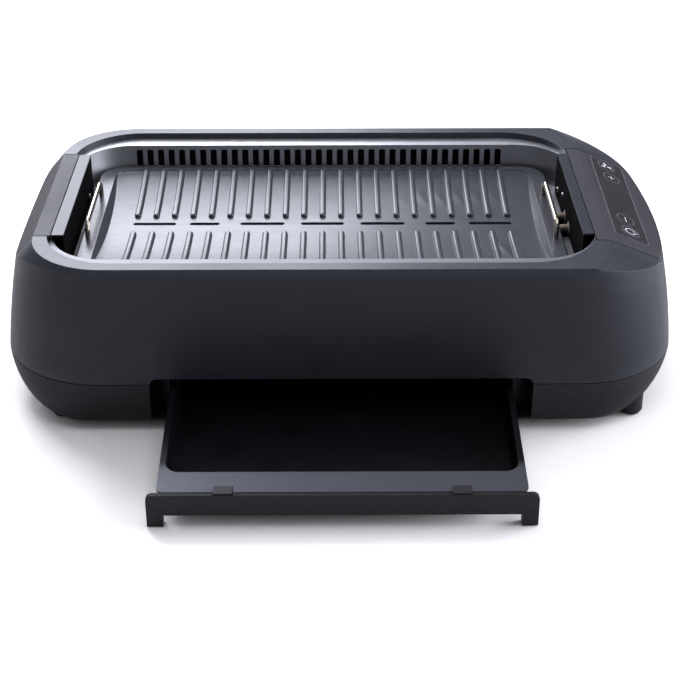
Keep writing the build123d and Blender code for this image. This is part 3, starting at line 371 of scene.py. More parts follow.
def fired_ceramic(name, colour):
    """Unglazed steatite, pressed and fired."""
    # To the eye: off-white and chalky, with light stains and pits.
    # Real pits are about 0.2 mm wide and are drawn 0.8 mm wide, so that they show.
    material, tree = new_finish(name)
    stain = add_node(tree, "ShaderNodeTexNoise", {"Scale": scale_for(5.0), "Detail": 3.0},
                     {"Vector": place_on(tree)}).outputs[0]
    pits = add_node(tree, "ShaderNodeTexNoise", {"Scale": scale_for(0.8), "Detail": 2.0},
                    {"Vector": place_on(tree)}).outputs[0]
    chalk = add_node(tree, "ShaderNodeMix", COLOUR_MIX,
                     {0: stain, 6: colour, 7: toned(colour, 0.7)})
    rough = add_node(tree, "ShaderNodeMapRange", {**NOISE_RANGE, "To Min": 0.55, "To Max": 0.75},
                     {"Value": stain})
    surface(tree, {"IOR": 1.55},
            {"Base Color": chalk.outputs[2], "Roughness": rough.outputs[0],
             "Normal": relief(tree, pits, 0.03, 0.4)})
    return material


def board_laminate(name, mask_colour, part_colour, board_top):
    """Glass epoxy circuit board with a printed solder mask."""
    # To the eye: green, with slightly raised paler tracks, and dark moulded parts standing on it.
    material, tree = new_finish(name)
    spot = add_node(tree, "ShaderNodeSeparateXYZ", links={0: place_on(tree)})
    above = add_node(tree, "ShaderNodeMath", {"operation": "GREATER_THAN", 1: board_top},
                     {0: spot.outputs["Z"]})
    traces = add_node(tree, "ShaderNodeTexVoronoi",
                      {"Scale": scale_for(4.0), "feature": "DISTANCE_TO_EDGE"},
                      {"Vector": place_on(tree)})
    line = add_node(tree, "ShaderNodeMath", {"operation": "LESS_THAN", 1: 0.08},
                    {0: traces.outputs["Distance"]}).outputs[0]
    haze = add_node(tree, "ShaderNodeTexNoise", {"Scale": scale_for(6.0), "Detail": 2.0},
                    {"Vector": place_on(tree)}).outputs[0]
    green = add_node(tree, "ShaderNodeMix", COLOUR_MIX,
                     {0: line, 6: mask_colour, 7: toned(mask_colour, 1.8)})
    filled = add_node(tree, "ShaderNodeMix", COLOUR_MIX,
                      {0: above.outputs[0], 6: green.outputs[2], 7: part_colour})
    rough = add_node(tree, "ShaderNodeMapRange", {**NOISE_RANGE, "To Min": 0.3, "To Max": 0.45},
                     {"Value": haze})
    surface(tree, {"IOR": 1.5},
            {"Base Color": filled.outputs[2], "Roughness": rough.outputs[0],
             "Normal": relief(tree, line, 0.04, 0.5)})
    return material


def gloss_panel(name, colour):
    """Cast acrylic, painted on its back."""
    # To the eye: a deep dark gloss with faint wiping marks.
    # Real scratches are far under 0.1 mm wide and are drawn 1.2 mm wide, so that they show.
    material, tree = new_finish(name)
    wipe = add_node(tree, "ShaderNodeTexNoise", {"Scale": scale_for(16.0), "Detail": 3.0},
                    {"Vector": place_on(tree, (1.0, 0.3, 1.0))}).outputs[0]
    scratches = add_node(tree, "ShaderNodeTexNoise", {"Scale": scale_for(1.2), "Detail": 2.0},
                         {"Vector": place_on(tree)}).outputs[0]
    deep = add_node(tree, "ShaderNodeMix", COLOUR_MIX, {0: wipe, 6: colour, 7: toned(colour, 1.25)})
    rough = add_node(tree, "ShaderNodeMapRange", {**NOISE_RANGE, "To Min": 0.26, "To Max": 0.36},
                     {"Value": wipe})
    surface(tree, {"IOR": 1.49},
            {"Base Color": deep.outputs[2], "Roughness": rough.outputs[0],
             "Normal": relief(tree, scratches, 0.01, 0.3, 0.3)})
    return material


def printed_ink(name, colour):
    """Screen printed ink."""
    # To the eye: flat, and slightly uneven in cover.
    # The real mesh marks are about 0.1 mm apart and are drawn 1.2 mm apart, so that they show.
    material, tree = new_finish(name)
    cover = add_node(tree, "ShaderNodeTexNoise", {"Scale": scale_for(1.2), "Detail": 2.0},
                     {"Vector": place_on(tree)}).outputs[0]
    ink = add_node(tree, "ShaderNodeMix", COLOUR_MIX, {0: cover, 6: toned(colour, 0.8), 7: colour})
    surface(tree, {"IOR": 1.45, "Roughness": 0.5},
            {"Base Color": ink.outputs[2], "Normal": relief(tree, cover, 0.01, 0.3)})
    return material


# Settings that a user may change

class HousingSettings(bpy.types.PropertyGroup):
    """Colours and grain of the outer mouldings."""
    shell_colour: StringProperty(name="Shell colour", description="sRGB hex of the slate shell",
                                 default="#2C2E35")
    base_colour: StringProperty(name="Base colour", description="sRGB hex of the base",
                                default="#1F1E23")
    cap_colour: StringProperty(name="Cap colour", description="sRGB hex of the end caps",
                               default="#302F33")
    grain: FloatProperty(name="Grain", description="Width of the moulded grain",
                         default=1.1 * MM, min=0.1 * MM, unit="LENGTH")
    roughness: FloatProperty(name="Roughness", description="Roughness of the shell",
                             default=0.36, min=0.05, max=1.0, subtype="FACTOR")
    rubber_colour: StringProperty(name="Pad colour", description="sRGB hex of the rubber pads",
                                  default="#151516")


class WellSettings(bpy.types.PropertyGroup):
    """Finish of the lining, the plate and what is under it."""
    sheet_colour: StringProperty(name="Sheet colour", description="sRGB hex of the stainless sheet",
                                 default="#C9CACD")
    front_sheet_colour: StringProperty(name="Front sheet",
                                       description="sRGB hex of the satin front lining",
                                       default="#8A8B8E")
    sheet_roughness: FloatProperty(name="Sheet roughness", description="Roughness of the lining",
                                   default=0.33, min=0.05, max=1.0, subtype="FACTOR")
    plate_colour: StringProperty(name="Plate colour", description="sRGB hex of the coated plate",
                                 default="#383A41")
    plate_roughness: FloatProperty(name="Plate roughness", description="Roughness of the plate",
                                   default=0.34, min=0.05, max=1.0, subtype="FACTOR")
    wire_colour: StringProperty(name="Wire colour", description="sRGB hex of the handles",
                                default="#BDB8AE")
    screw_radius: FloatProperty(name="Wall screw radius", description="Head of the end wall screws",
                                default=2.2 * MM, min=0.5 * MM, unit="LENGTH")


class DrawerSettings(bpy.types.PropertyGroup):
    """Finish of the grease drawer."""
    inside_colour: StringProperty(name="Tray inside", description="sRGB hex of the tray's inside",
                                  default="#07080B")
    flange_colour: StringProperty(name="Tray flange", description="sRGB hex of the flat flange",
                                  default="#5E5F66")
    front_colour: StringProperty(name="Front colour", description="sRGB hex of the drawer front",
                                 default="#1B1A1E")
    strip_width: FloatProperty(name="Strip width", description="Satin strip along the tray's front",
                               default=26.0 * MM, min=1.0 * MM, unit="LENGTH")


class InnerSettings(bpy.types.PropertyGroup):
    """Colours of the pieces that are inside, underneath or at the back."""
    element_colour: StringProperty(name="Element", description="sRGB hex of the element's sheath",
                                   default="#A39D90")
    bead_colour: StringProperty(name="Beads", description="sRGB hex of the element's end beads",
                                default="#D5CFC0")
    switch_colour: StringProperty(name="Heat switches", description="sRGB hex of their cases",
                                  default="#C8C1B0")
    shield_colour: StringProperty(name="Heat shield", description="sRGB hex of the shield sheet",
                                  default="#A9ABAD")
    runner_colour: StringProperty(name="Runners", description="sRGB hex of the acetal runners",
                                  default="#1C1B1E")
    fan_colour: StringProperty(name="Fan", description="sRGB hex of the fan's nylon",
                               default="#222224")
    motor_colour: StringProperty(name="Motor", description="sRGB hex of the motor's can",
                                 default="#9B9DA0")
    shaft_colour: StringProperty(name="Shaft", description="sRGB hex of the ground shaft",
                                 default="#C9C9C7")
    mask_colour: StringProperty(name="Solder mask", description="sRGB hex of the board",
                                default="#2F5A3A")
    component_colour: StringProperty(name="Components", description="sRGB hex of the board's parts",
                                     default="#26262A")
    standoff_colour: StringProperty(name="Standoffs", description="sRGB hex of the nylon posts",
                                    default="#2A2A2C")
    gland_colour: StringProperty(name="Cord gland", description="sRGB hex of the nylon gland",
                                 default="#1B1B1D")
    screw_colour: StringProperty(name="Screws", description="sRGB hex of the zinc plating",
                                 default="#A9AAAC")
    wall_screw_colour: StringProperty(name="Wall screws", description="sRGB hex of their plating",
                                      default="#C4C4C2")


class ControlSettings(bpy.types.PropertyGroup):
    """Touch window and its printed signs."""
    window_colour: StringProperty(name="Window colour", description="sRGB hex of the window",
                                  default="#242226")
    sign_colour: StringProperty(name="Sign colour", description="sRGB hex of the bright signs",
                                default="#E4E4E6")
    ring_colour: StringProperty(name="Key ring colour", description="sRGB hex of the key rings",
                                default="#8C8A90")
    line: FloatProperty(name="Line width", description="Width of the thin printed lines",
                        default=0.45 * MM, min=0.1 * MM, unit="LENGTH")
    sign_size: FloatProperty(name="Sign size", description="Outer radius of the power ring",
                             default=4.6 * MM, min=1.0 * MM, unit="LENGTH")


class StageSettings(bpy.types.PropertyGroup):
    """Camera, floor and lights."""
    lens: FloatProperty(name="Lens", description="Focal length on a 36 mm sensor", default=82.06,
                        min=10.0, unit="CAMERA")
    pitch: FloatProperty(name="Pitch", description="Angle below the horizon",
                         default=math.radians(29.5), subtype="ANGLE")
    turn: FloatProperty(name="Turn", description="Angle to the right of straight ahead",
                        default=math.radians(0.354), subtype="ANGLE")
    stand: FloatVectorProperty(name="Camera place", description="From under the housing's middle",
                               default=(-0.0085, -1.1823, 0.6676), subtype="TRANSLATION")
    tint: StringProperty(name="Light tint", description="sRGB hex of the cool studio light",
                         default="#F1F3FF")
    wall_level: FloatProperty(name="Wall level", description="Brightness of the studio's walls",
                              default=0.15, min=0.0)
    ceiling_level: FloatProperty(name="Ceiling level", description="Brightness of its ceiling",
                                 default=0.3, min=0.0)


# Middles of the touch keys on the window, in millimetres: down its slope, and to the back.
KEY_PLACES = {"fan": (-1.0, 69.0), "plus": (0.5, 44.0), "minus": (-0.2, -42.5),
              "power": (0.6, -65.0)}

# Brush of a sheet that isn't brushed along one way.
PLAIN = (1.0, 1.0, 1.0)


# Mesh helpers

def new_piece(name, mesh, material, body="housing"):
    """Link a mesh as a piece that rides on a body."""
    piece = bpy.data.objects.new(name, mesh)
    mesh.materials.append(material)
    bpy.context.scene.collection.objects.link(piece)
    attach(piece, body)
    return piece


def window_frame():
    """Matrix of the touch window's top face: X down the slope, Y to the back, Z out."""
    mesh = frame["nodes"]["control_window"].data
    faces = [p for p in mesh.polygons if p.normal.z > 0.6]
    if not faces:
        raise RuntimeError("the touch window has no face that looks up")
    normal = sum((p.normal * p.area for p in faces), Vector()).normalized()
    corners = {v for p in faces for v in p.vertices}
    points = [mesh.vertices[i].co for i in corners]
    middle = (Vector([min(p[k] for p in points) for k in range(3)])
              + Vector([max(p[k] for p in points) for k in range(3)])) / 2
    uses = {}
    for face in faces:
        for key in face.edge_keys:
            uses[key] = uses.get(key, 0) + 1
    rim = [mesh.vertices[a].co - mesh.vertices[b].co for (a, b), n in uses.items() if n == 1]
    side = max(rim, key=lambda edge: edge.length).normalized()
    if side.y < 0:
        side = -side
    down = side.cross(normal).normalized()
    level = max(p.dot(normal) for p in points)
    middle += normal * (level - middle.dot(normal))
    return Matrix((down, side, normal)).transposed().to_4x4(), middle


def flat_loop(points, closed, width):
    """Flat printed line along points in a plane, as inner and outer edges."""
    count = len(points)
    rows = []
    for i, p in enumerate(points):
        before = points[i - 1] if closed or i else p
        after = points[(i + 1) % count] if closed or i < count - 1 else p
        along = (after - before).normalized()
        side = Vector((-along.y, along.x)) * width / 2
        rows.append((p - side, p + side))
    last = count if closed else count - 1
    return [(rows[i][0], rows[(i + 1) % count][0], rows[(i + 1) % count][1], rows[i][1])
            for i in range(last)]


def arc(x, y, radius, start, end, steps=36):
    """Points on an arc, angles in degrees."""
    return [Vector((x + radius * math.cos(math.radians(start + (end - start) * i / steps)),
                    y + radius * math.sin(math.radians(start + (end - start) * i / steps))))
            for i in range(steps + 1)]


def rounded_outline(half_x, half_y, corner, x=0.0, y=0.0):
    """Points round a rectangle with round corners."""
    points = []
    for sx, sy, start in ((1, 1, 0), (-1, 1, 90), (-1, -1, 180), (1, -1, 270)):
        points += arc(x + sx * (half_x - corner), y + sy * (half_y - corner), corner,
                      start, start + 90, 8)
    return points


def print_on_window(name, faces, colour):
    """Make flat faces, given on the window's plane, into a printed piece just above it."""
    print_height = 0.04 * MM
    rotation, middle = window_frame()
    mesh = bpy.data.meshes.new(name)
    form = bmesh.new()
    for face in faces:
        form.faces.new([form.verts.new((p.x, p.y, print_height)) for p in face])
    bmesh.ops.remove_doubles(form, verts=form.verts, dist=0.001 * MM)
    bmesh.ops.recalc_face_normals(form, faces=form.faces)
    for face in form.faces:
        if face.normal.z < 0:
            face.normal_flip()
    form.transform(Matrix.Translation(middle) @ rotation)
    form.to_mesh(mesh)
    form.free()
    return new_piece(name, mesh, printed_ink(name + "_ink", linear(colour)))


def turned(profile, steps):
    """Mesh turned from (radius, height) pairs about Z."""
    form = bmesh.new()
    rings = []
    for radius, height in profile:
        rings.append([form.verts.new((radius * math.cos(2 * math.pi * i / steps),
                                      radius * math.sin(2 * math.pi * i / steps), height))
                      for i in range(steps)])
    for low, high in zip(rings, rings[1:]):
        for i in range(steps):
            form.faces.new((low[i], low[(i + 1) % steps], high[(i + 1) % steps], high[i]))
    form.faces.new(rings[-1])
    form.faces.new(rings[0][::-1])
    return form


# Operators

class GRILL_OT_upper_shell(bpy.types.Operator):
    """Slate ABS finish of the upper shell"""
    bl_idname = "grill.upper_shell"
    bl_label = "Upper shell"

    def execute(self, context):
        s = context.scene.grill_housing
        dress("upper_shell", moulded_plastic("abs_satin_slate", linear(s.shell_colour),
                                             grain_mm=s.grain / MM, depth_mm=0.05,
                                             roughness=s.roughness, tint=0.05, rounding_mm=0.6))
        return {"FINISHED"}


class GRILL_OT_end_caps(bpy.types.Operator):
    """Textured end caps and the strips inside them"""
    bl_idname = "grill.end_caps"
    bl_label = "End caps"

    def execute(self, context):
        s = context.scene.grill_housing
        sand = moulded_plastic("abs_sand_texture", linear(s.cap_colour), grain_mm=1.5,
                               depth_mm=0.45, roughness=0.55, tint=0.12, rounding_mm=0.4)
        smooth = moulded_plastic("abs_satin_charcoal", linear(s.cap_colour), grain_mm=1.1,
                                 depth_mm=0.05, roughness=0.38, tint=0.05, rounding_mm=0.4)
        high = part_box("left_inner_strip")[1]
        strip = strip_plastic("glass_filled_pbt_strip", linear(s.shell_colour), linear("#060608"),
                              high.z)
        dress("left_end_cap", sand)
        dress("control_cap", smooth)
        dress("left_inner_strip", strip)
        dress("right_inner_strip", strip)
        return {"FINISHED"}


class GRILL_OT_base(bpy.types.Operator):
    """Dark base and the exhaust grille at the back"""
    bl_idname = "grill.base"
    bl_label = "Base"

    def execute(self, context):
        s = context.scene.grill_housing
        plastic = moulded_plastic("abs_matt_black", linear(s.base_colour), grain_mm=1.2,
                                  depth_mm=0.06, roughness=0.42, tint=0.08, rounding_mm=0.5)
        for node in ("base_tub", "exhaust_grille"):
            dress(node, plastic)
        return {"FINISHED"}


class GRILL_OT_feet(bpy.types.Operator):
    """Feet and their rubber pads"""
    bl_idname = "grill.feet"
    bl_label = "Feet"

    def execute(self, context):
        s = context.scene.grill_housing
        post = moulded_plastic("polypropylene_foot", linear(s.base_colour), grain_mm=1.4,
                               depth_mm=0.08, roughness=0.5, tint=0.1, rounding_mm=0.4)
        rubber = soft_rubber("moulded_nitrile_rubber", linear(s.rubber_colour))
        for node in frame["nodes"]:
            if node.startswith("foot_pad_"):
                dress(node, rubber)
            elif node.startswith("foot_"):
                dress(node, post)
        return {"FINISHED"}


class GRILL_OT_well_lining(bpy.types.Operator):
    """Brushed stainless lining of the well"""
    bl_idname = "grill.well_lining"
    bl_label = "Well lining"

    def execute(self, context):
        s = context.scene.grill_well
        sheet = brushed_sheet("stainless_304_brushed", linear(s.sheet_colour), s.sheet_roughness)
        dress("rear_liner", sheet)
        dress("front_liner", brushed_sheet("stainless_304_satin", linear(s.front_sheet_colour),
                                           s.sheet_roughness + 0.1))
        return {"FINISHED"}


class GRILL_OT_wall_screws(bpy.types.Operator):
    """Small bright screws in the two dark end walls of the well"""
    bl_idname = "grill.wall_screws"
    bl_label = "End wall screws"

    def execute(self, context):
        radius = context.scene.grill_well.screw_radius
        low_left, high_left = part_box("left_inner_strip")
        low_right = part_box("right_inner_strip")[0]
        middle = (low_left.y + high_left.y) / 2
        colour = linear(context.scene.grill_inner.wall_screw_colour)
        bright = brushed_sheet("zinc_plated_screw", colour, roughness=0.24, brush=PLAIN)
        # Name, the wall that each screw is in, its depth and height there, and which way it faces.
        places = [("end_wall_screw_left", high_left.x, middle + 0.055, 0.1125, 1),
                  ("end_wall_screw_right_rear", low_right.x, middle + 0.062, 0.1145, -1),
                  ("end_wall_screw_right_front", low_right.x, middle + 0.032, 0.1225, -1)]
        for name, x, y, z, out in places:
            form = turned([(radius, -0.2 * MM), (radius, 0.7 * MM), (radius * 0.8, 1.3 * MM),
                           (radius * 0.3, 1.5 * MM)], 24)
            slot = bmesh.ops.create_cube(form, size=1.0)["verts"]
            bmesh.ops.scale(form, verts=slot, vec=(radius * 1.5, 0.5 * MM, 0.3 * MM))
            bmesh.ops.translate(form, verts=slot, vec=(0, 0, 1.5 * MM))
            mesh = bpy.data.meshes.new(name)
            facing = Matrix.Rotation(out * math.pi / 2, 4, "Y")
            form.transform(Matrix.Translation((x, y, z)) @ facing)
            form.to_mesh(mesh)
            form.free()
            new_piece(name, mesh, bright)
        return {"FINISHED"}


class GRILL_OT_cooking_plate(bpy.types.Operator):
    """Non-stick cooking plate"""
    bl_idname = "grill.cooking_plate"
    bl_label = "Cooking plate"

    def execute(self, context):
        s = context.scene.grill_well
        dress("grill_plate", non_stick_casting("cast_aluminium_non_stick", linear(s.plate_colour),
                                               s.plate_roughness))
        return {"FINISHED"}


class GRILL_OT_plate_handles(bpy.types.Operator):
    """Bent wire handles of the plate"""
    bl_idname = "grill.plate_handles"
    bl_label = "Plate handles"

    def execute(self, context):
        s = context.scene.grill_well
        wire = polished_wire("stainless_wire_polished", linear(s.wire_colour))
        dress("left_plate_handle", wire)
        dress("right_plate_handle", wire)
        return {"FINISHED"}


class GRILL_OT_heating(bpy.types.Operator):
    """Heating element, its beads and the reflector pan under it"""
    bl_idname = "grill.heating"
    bl_label = "Heating"

    def execute(self, context):
        s = context.scene.grill_inner
        dress("heating_element", scaled_sheath("nickel_alloy_oxidised", linear(s.element_colour)))
        dress("element_terminals", fired_ceramic("steatite_bead", linear(s.bead_colour)))
        pan = brushed_sheet("stainless_430_pressed", linear(context.scene.grill_well.sheet_colour),
                            roughness=0.26, brush=(1.0, 0.03, 1.0))
        for node in ("reflector_pan", "element_supports"):
            dress(node, pan)
        dress("heat_shield", brushed_sheet("aluminised_steel_sheet", linear(s.shield_colour),
                                           roughness=0.42, brush=PLAIN))
        guard = fired_ceramic("ceramic_switch_case", linear(s.switch_colour))
        dress("thermostat_sensor", guard)
        dress("thermal_fuse", guard)
        return {"FINISHED"}


class GRILL_OT_drawer(bpy.types.Operator):
    """Grease tray and the drawer front"""
    bl_idname = "grill.drawer"
    bl_label = "Drawer"

    def execute(self, context):
        s = context.scene.grill_drawer
        slides = [joint for joint in frame["joints"] if joint["name"] == "drawer_slide"]
        if not slides:
            raise RuntimeError("the frame has no drawer_slide joint")
        slide = slides[0]
        tilt = math.atan2(-slide["axis"][2], -slide["axis"][1])
        low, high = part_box("drip_tray")
        panel_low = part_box("drawer_front")[0]
        top_point = (0.0, panel_low.y, high.z - (high.y - panel_low.y) * math.tan(tilt))
        dress("drip_tray", coated_tray("aluminium_tray_coated", linear(s.inside_colour),
                                       linear(s.flange_colour), tilt, top_point,
                                       low.y + s.strip_width))
        dress("drawer_front", moulded_plastic("abs_satin_black", linear(s.front_colour),
                                              grain_mm=1.0, depth_mm=0.05, roughness=0.4,
                                              tint=0.05, rounding_mm=0.6))
        return {"FINISHED"}


class GRILL_OT_runners(bpy.types.Operator):
    """Runners that the drawer slides on"""
    bl_idname = "grill.runners"
    bl_label = "Runners"

    def execute(self, context):
        slick = moulded_plastic("acetal_runner", linear(context.scene.grill_inner.runner_colour),
                                grain_mm=2.0, depth_mm=0.03, roughness=0.3, tint=0.08,
                                rounding_mm=0.3)
        dress("left_runner", slick)
        dress("right_runner", slick)
        return {"FINISHED"}


class GRILL_OT_touch_window(bpy.types.Operator):
    """Touch window with its printed border and signs"""
    bl_idname = "grill.touch_window"
    bl_label = "Touch window"

    def execute(self, context):
        s = context.scene.grill_control
        dress("control_window", gloss_panel("acrylic_back_painted", linear(s.window_colour)))
        low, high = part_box("control_window")
        border_edge = 1.4 * MM
        half_y = (high.y - low.y) / 2 - border_edge
        border = flat_loop(rounded_outline(15.0 * MM, half_y, 3.5 * MM), True, s.line)
        print_on_window("window_border", border, s.ring_colour)
        rings = []
        for x, y in KEY_PLACES.values():
            rings += flat_loop(rounded_outline(7.2 * MM, 8.6 * MM, 6.8 * MM, x * MM, y * MM), True,
                               s.line)
        print_on_window("key_rings", rings, s.ring_colour)
        # The signs' strokes run between these points, in millimetres on the window.
        plus = self.stroke((-2.6, 44.0), (3.4, 44.0), 0.7)
        plus += self.stroke((0.4, 40.6), (0.4, 47.4), 0.7)
        print_on_window("plus_sign", plus, s.sign_colour)
        print_on_window("minus_sign", self.stroke((-0.1, -47.2), (-0.1, -38.0), 0.8), s.sign_colour)
        power = flat_loop(arc(0.8 * MM, -65.0 * MM, s.sign_size, 30, 330), False, 1.0 * MM)
        power += self.stroke((3.0, -65.0), (7.4, -65.0), 0.8)
        print_on_window("power_sign", power, s.sign_colour)
        print_on_window("fan_sign", self.fan_blades(), s.sign_colour)
        return {"FINISHED"}

    @staticmethod
    def stroke(start, end, width_mm):
        """One straight stroke of a sign."""
        return flat_loop([Vector(start) * MM, Vector(end) * MM], False, width_mm * MM)

    @staticmethod
    def fan_blades():
        """Three swept blades around a small hub."""
        centre = Vector(KEY_PLACES["fan"]) * MM
        steps = 8
        faces = []
        for turn in (90, 210, 330):
            outer = []
            inner = []
            for i in range(steps + 1):
                t = i / steps
                lead = math.radians(turn - 24 + 30 * t)
                trail = math.radians(turn + 30 + 12 * t)
                reach = (1.2 + 4.8 * t) * MM
                outer.append(centre + Vector((math.cos(lead), math.sin(lead))) * reach)
                narrow = 1 - 0.25 * t
                inner.append(centre + Vector((math.cos(trail), math.sin(trail))) * reach * narrow)
            faces += [(outer[i], outer[i + 1], inner[i + 1], inner[i]) for i in range(steps)]
        return faces


class GRILL_OT_smoke_fan(bpy.types.Operator):
    """Fan behind the smoke vents"""
    bl_idname = "grill.smoke_fan"
    bl_label = "Smoke fan"

    def execute(self, context):
        s = context.scene.grill_inner
        plastic = moulded_plastic("nylon_fan_black", linear(s.fan_colour), grain_mm=1.4,
                                  depth_mm=0.05, roughness=0.4, tint=0.08, rounding_mm=0.3)
        dress("fan_housing", plastic)
        dress("fan_impeller", plastic)
        dress("fan_motor", brushed_sheet("zinc_plated_motor_can", linear(s.motor_colour),
                                         roughness=0.35, brush=PLAIN))
        dress("fan_shaft", polished_wire("ground_steel_shaft", linear(s.shaft_colour)))
        return {"FINISHED"}


class GRILL_OT_electronics(bpy.types.Operator):
    """Power board, touch board and what holds them"""
    bl_idname = "grill.electronics"
    bl_label = "Electronics"

    def execute(self, context):
        s = context.scene.grill_inner
        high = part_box("board_standoffs")[1]
        over_board = 2.0 * MM
        laminate = board_laminate("fr4_laminate_masked", linear(s.mask_colour),
                                  linear(s.component_colour), high.z + over_board)
        dress("power_board", laminate)
        dress("control_board", laminate)
        dress("board_standoffs", moulded_plastic("nylon_standoff", linear(s.standoff_colour),
                                                 grain_mm=1.2, depth_mm=0.04, roughness=0.45,
                                                 tint=0.08, rounding_mm=0.2))
        return {"FINISHED"}


class GRILL_OT_cord_gland(bpy.types.Operator):
    """Gland where the mains cord enters"""
    bl_idname = "grill.cord_gland"
    bl_label = "Cord gland"

    def execute(self, context):
        nylon = moulded_plastic("nylon_gland", linear(context.scene.grill_inner.gland_colour),
                                grain_mm=1.2, depth_mm=0.06, roughness=0.46, tint=0.08,
                                rounding_mm=0.4)
        dress("cord_gland", nylon)
        dress("gland_nut", nylon)
        return {"FINISHED"}


class GRILL_OT_screws(bpy.types.Operator):
    """Zinc plated screws"""
    bl_idname = "grill.screws"
    bl_label = "Screws"

    def execute(self, context):
        steel = brushed_sheet("zinc_plated_steel", linear(context.scene.grill_inner.screw_colour),
                              roughness=0.3, brush=PLAIN)
        for node in ("shell_screws", "runner_screws", "board_screws"):
            dress(node, steel)
        return {"FINISHED"}


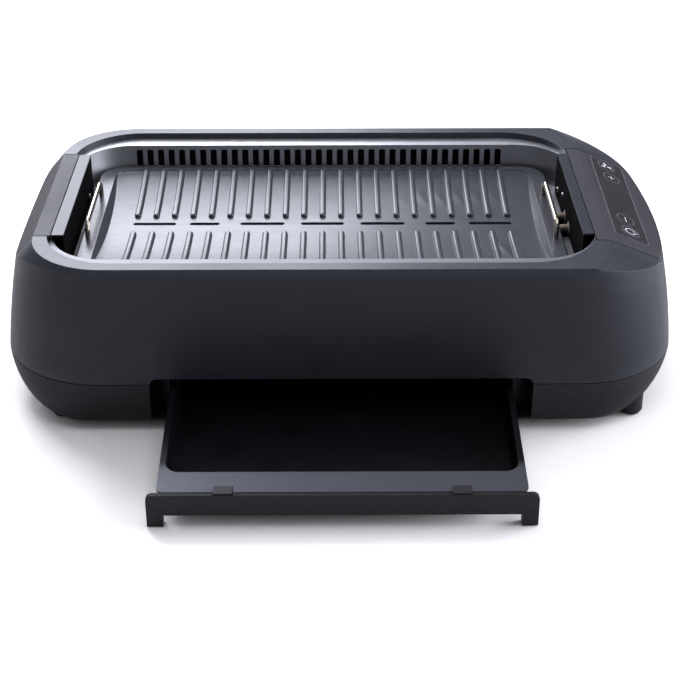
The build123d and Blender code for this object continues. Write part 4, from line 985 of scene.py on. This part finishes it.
class GRILL_OT_stage(bpy.types.Operator):
    """Camera, floor, surroundings and lights"""
    bl_idname = "grill.stage"
    bl_label = "Stage"

    def execute(self, context):
        s = context.scene.grill_stage
        scene = context.scene
        low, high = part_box("upper_shell")
        middle = (low + high) / 2
        data = bpy.data.cameras.new("product_camera")
        data.sensor_width = 36.0
        data.lens = s.lens
        camera = bpy.data.objects.new("product_camera", data)
        camera.location = (middle.x + s.stand[0], middle.y + s.stand[1], s.stand[2])
        camera.rotation_euler = (math.pi / 2 - s.pitch, 0.0, -s.turn)
        scene.collection.objects.link(camera)
        scene.camera = camera
        self.floor(scene)
        self.surroundings(scene, s)
        self.softboxes(scene, middle, s)
        scene.view_settings.view_transform = "Standard"
        return {"FINISHED"}

    @staticmethod
    def floor(scene):
        """White table top that shows as the page around the object and keeps its shadow."""
        form = bmesh.new()
        bmesh.ops.create_grid(form, x_segments=1, y_segments=1, size=6.0)
        mesh = bpy.data.meshes.new("white_table")
        form.to_mesh(mesh)
        form.free()
        material, tree = new_finish("white_sweep_paper")
        ray = add_node(tree, "ShaderNodeLightPath")
        grain = add_node(tree, "ShaderNodeTexNoise", {"Scale": scale_for(4.0), "Detail": 2.0},
                         {"Vector": place_on(tree)}).outputs[0]
        paper = add_node(tree, "ShaderNodeMix", COLOUR_MIX,
                         {0: grain, 6: linear("#AAAAAA"), 7: linear("#B0B0B0")})
        plain = add_node(tree, "ShaderNodeBsdfDiffuse", links={"Color": paper.outputs[2]})
        # The camera sees the paper over full white, and a little warm against the cool light.
        bright = add_node(tree, "ShaderNodeBsdfDiffuse", {"Color": (1.4, 1.38, 1.3, 1.0)})
        mirrored = add_node(tree, "ShaderNodeMath", {"operation": "MAXIMUM"},
                            {0: ray.outputs["Is Glossy Ray"],
                             1: ray.outputs["Is Transmission Ray"]})
        # Reflections get a fifth of that white, so that pale metal keeps its shading.
        softer = add_node(tree, "ShaderNodeMath", {"operation": "MULTIPLY", 1: 0.2},
                          {0: mirrored.outputs[0]})
        seen = add_node(tree, "ShaderNodeMath", {"operation": "MAXIMUM"},
                        {0: ray.outputs["Is Camera Ray"], 1: softer.outputs[0]})
        mix = add_node(tree, "ShaderNodeMixShader", links={0: seen.outputs[0], 1: plain.outputs[0],
                                                           2: bright.outputs[0]})
        add_node(tree, "ShaderNodeOutputMaterial", links={"Surface": mix.outputs[0]})
        table = bpy.data.objects.new("white_table", mesh)
        mesh.materials.append(material)
        scene.collection.objects.link(table)

    @staticmethod
    def surroundings(scene, s):
        """Studio surroundings: a pale ceiling above darker walls."""
        world = bpy.data.worlds.new("studio")
        world.use_nodes = True
        tree = world.node_tree
        tree.nodes.clear()
        way = add_node(tree, "ShaderNodeTexCoord")
        up = add_node(tree, "ShaderNodeSeparateXYZ", links={0: way.outputs["Generated"]})
        level = add_node(tree, "ShaderNodeMapRange",
                         {"interpolation_type": "SMOOTHSTEP", "From Min": 0.1, "From Max": 0.6,
                          "To Min": s.wall_level, "To Max": s.ceiling_level},
                         {"Value": up.outputs["Z"]})
        studio = add_node(tree, "ShaderNodeBackground", {"Color": linear(s.tint)},
                          {"Strength": level.outputs[0]})
        # The camera sees plain white beyond the paper, and the light stays that of the room.
        white = add_node(tree, "ShaderNodeBackground", {"Color": linear("#FFFFFF")})
        ray = add_node(tree, "ShaderNodeLightPath")
        seen = add_node(tree, "ShaderNodeMixShader",
                        links={0: ray.outputs["Is Camera Ray"], 1: studio.outputs[0],
                               2: white.outputs[0]})
        add_node(tree, "ShaderNodeOutputWorld", links={"Surface": seen.outputs[0]})
        scene.world = world

    @staticmethod
    def softboxes(scene, middle, s):
        """Softboxes behind to the left, overhead and at the right."""
        # Name, place from the housing's middle in metres, width and height in metres, and watts.
        boxes = [("softbox_rear_left", (-0.9, 2.3, 1.3), (2.1, 1.1), 52.0),
                 ("softbox_high_left", (-0.9, 1.3, 2.0), (0.8, 0.6), 25.0),
                 ("softbox_overhead", (0.1, 0.0, 2.2), (2.0, 1.6), 14.0),
                 ("softbox_right", (2.0, 0.4, 0.95), (1.3, 1.4), 34.0),
                 ("strip_light_right", (1.8, -0.5, 0.4), (0.8, 0.6), 11.0)]
        aim_height = 0.08
        for name, place, size, power in boxes:
            data = bpy.data.lights.new(name, "AREA")
            data.shape = "RECTANGLE"
            data.size, data.size_y = size
            data.energy = power
            data.color = linear(s.tint)[:3]
            lamp = bpy.data.objects.new(name, data)
            lamp.location = (middle.x + place[0], middle.y + place[1], place[2])
            aim = Vector((middle.x, middle.y, aim_height)) - lamp.location
            lamp.rotation_euler = aim.to_track_quat("-Z", "Y").to_euler()
            scene.collection.objects.link(lamp)


class GRILL_PT_sidebar(bpy.types.Panel):
    """Buttons for each group of pieces"""
    bl_idname = "GRILL_PT_sidebar"
    bl_label = "Smokeless grill"
    bl_space_type = "VIEW_3D"
    bl_region_type = "UI"
    bl_category = "Grill"

    def draw(self, context):
        for group in SETTINGS:
            for name in group.__annotations__:
                self.layout.prop(getattr(context.scene, SETTINGS[group]), name)
        for step in STEPS:
            self.layout.operator(step.bl_idname)


SETTINGS = {HousingSettings: "grill_housing", WellSettings: "grill_well",
            DrawerSettings: "grill_drawer", InnerSettings: "grill_inner",
            ControlSettings: "grill_control", StageSettings: "grill_stage"}
STEPS = (GRILL_OT_upper_shell, GRILL_OT_end_caps, GRILL_OT_base, GRILL_OT_feet,
         GRILL_OT_well_lining, GRILL_OT_wall_screws, GRILL_OT_cooking_plate, GRILL_OT_plate_handles,
         GRILL_OT_heating, GRILL_OT_drawer, GRILL_OT_runners, GRILL_OT_touch_window,
         GRILL_OT_smoke_fan, GRILL_OT_electronics, GRILL_OT_cord_gland, GRILL_OT_screws,
         GRILL_OT_stage)


def register():
    """Register the settings, the operators and the panel."""
    for group, name in SETTINGS.items():
        bpy.utils.register_class(group)
        setattr(bpy.types.Scene, name, bpy.props.PointerProperty(type=group))
    for step in STEPS + (GRILL_PT_sidebar,):
        bpy.utils.register_class(step)


def unregister():
    """Take everything out again."""
    for step in (GRILL_PT_sidebar,) + STEPS[::-1]:
        bpy.utils.unregister_class(step)
    for group, name in SETTINGS.items():
        delattr(bpy.types.Scene, name)
        bpy.utils.unregister_class(group)


def main():
    """Build every piece in order."""
    register()
    for step in STEPS:
        area, name = step.bl_idname.split(".")
        getattr(getattr(bpy.ops, area), name)()


if __name__ == "__main__":
    main()
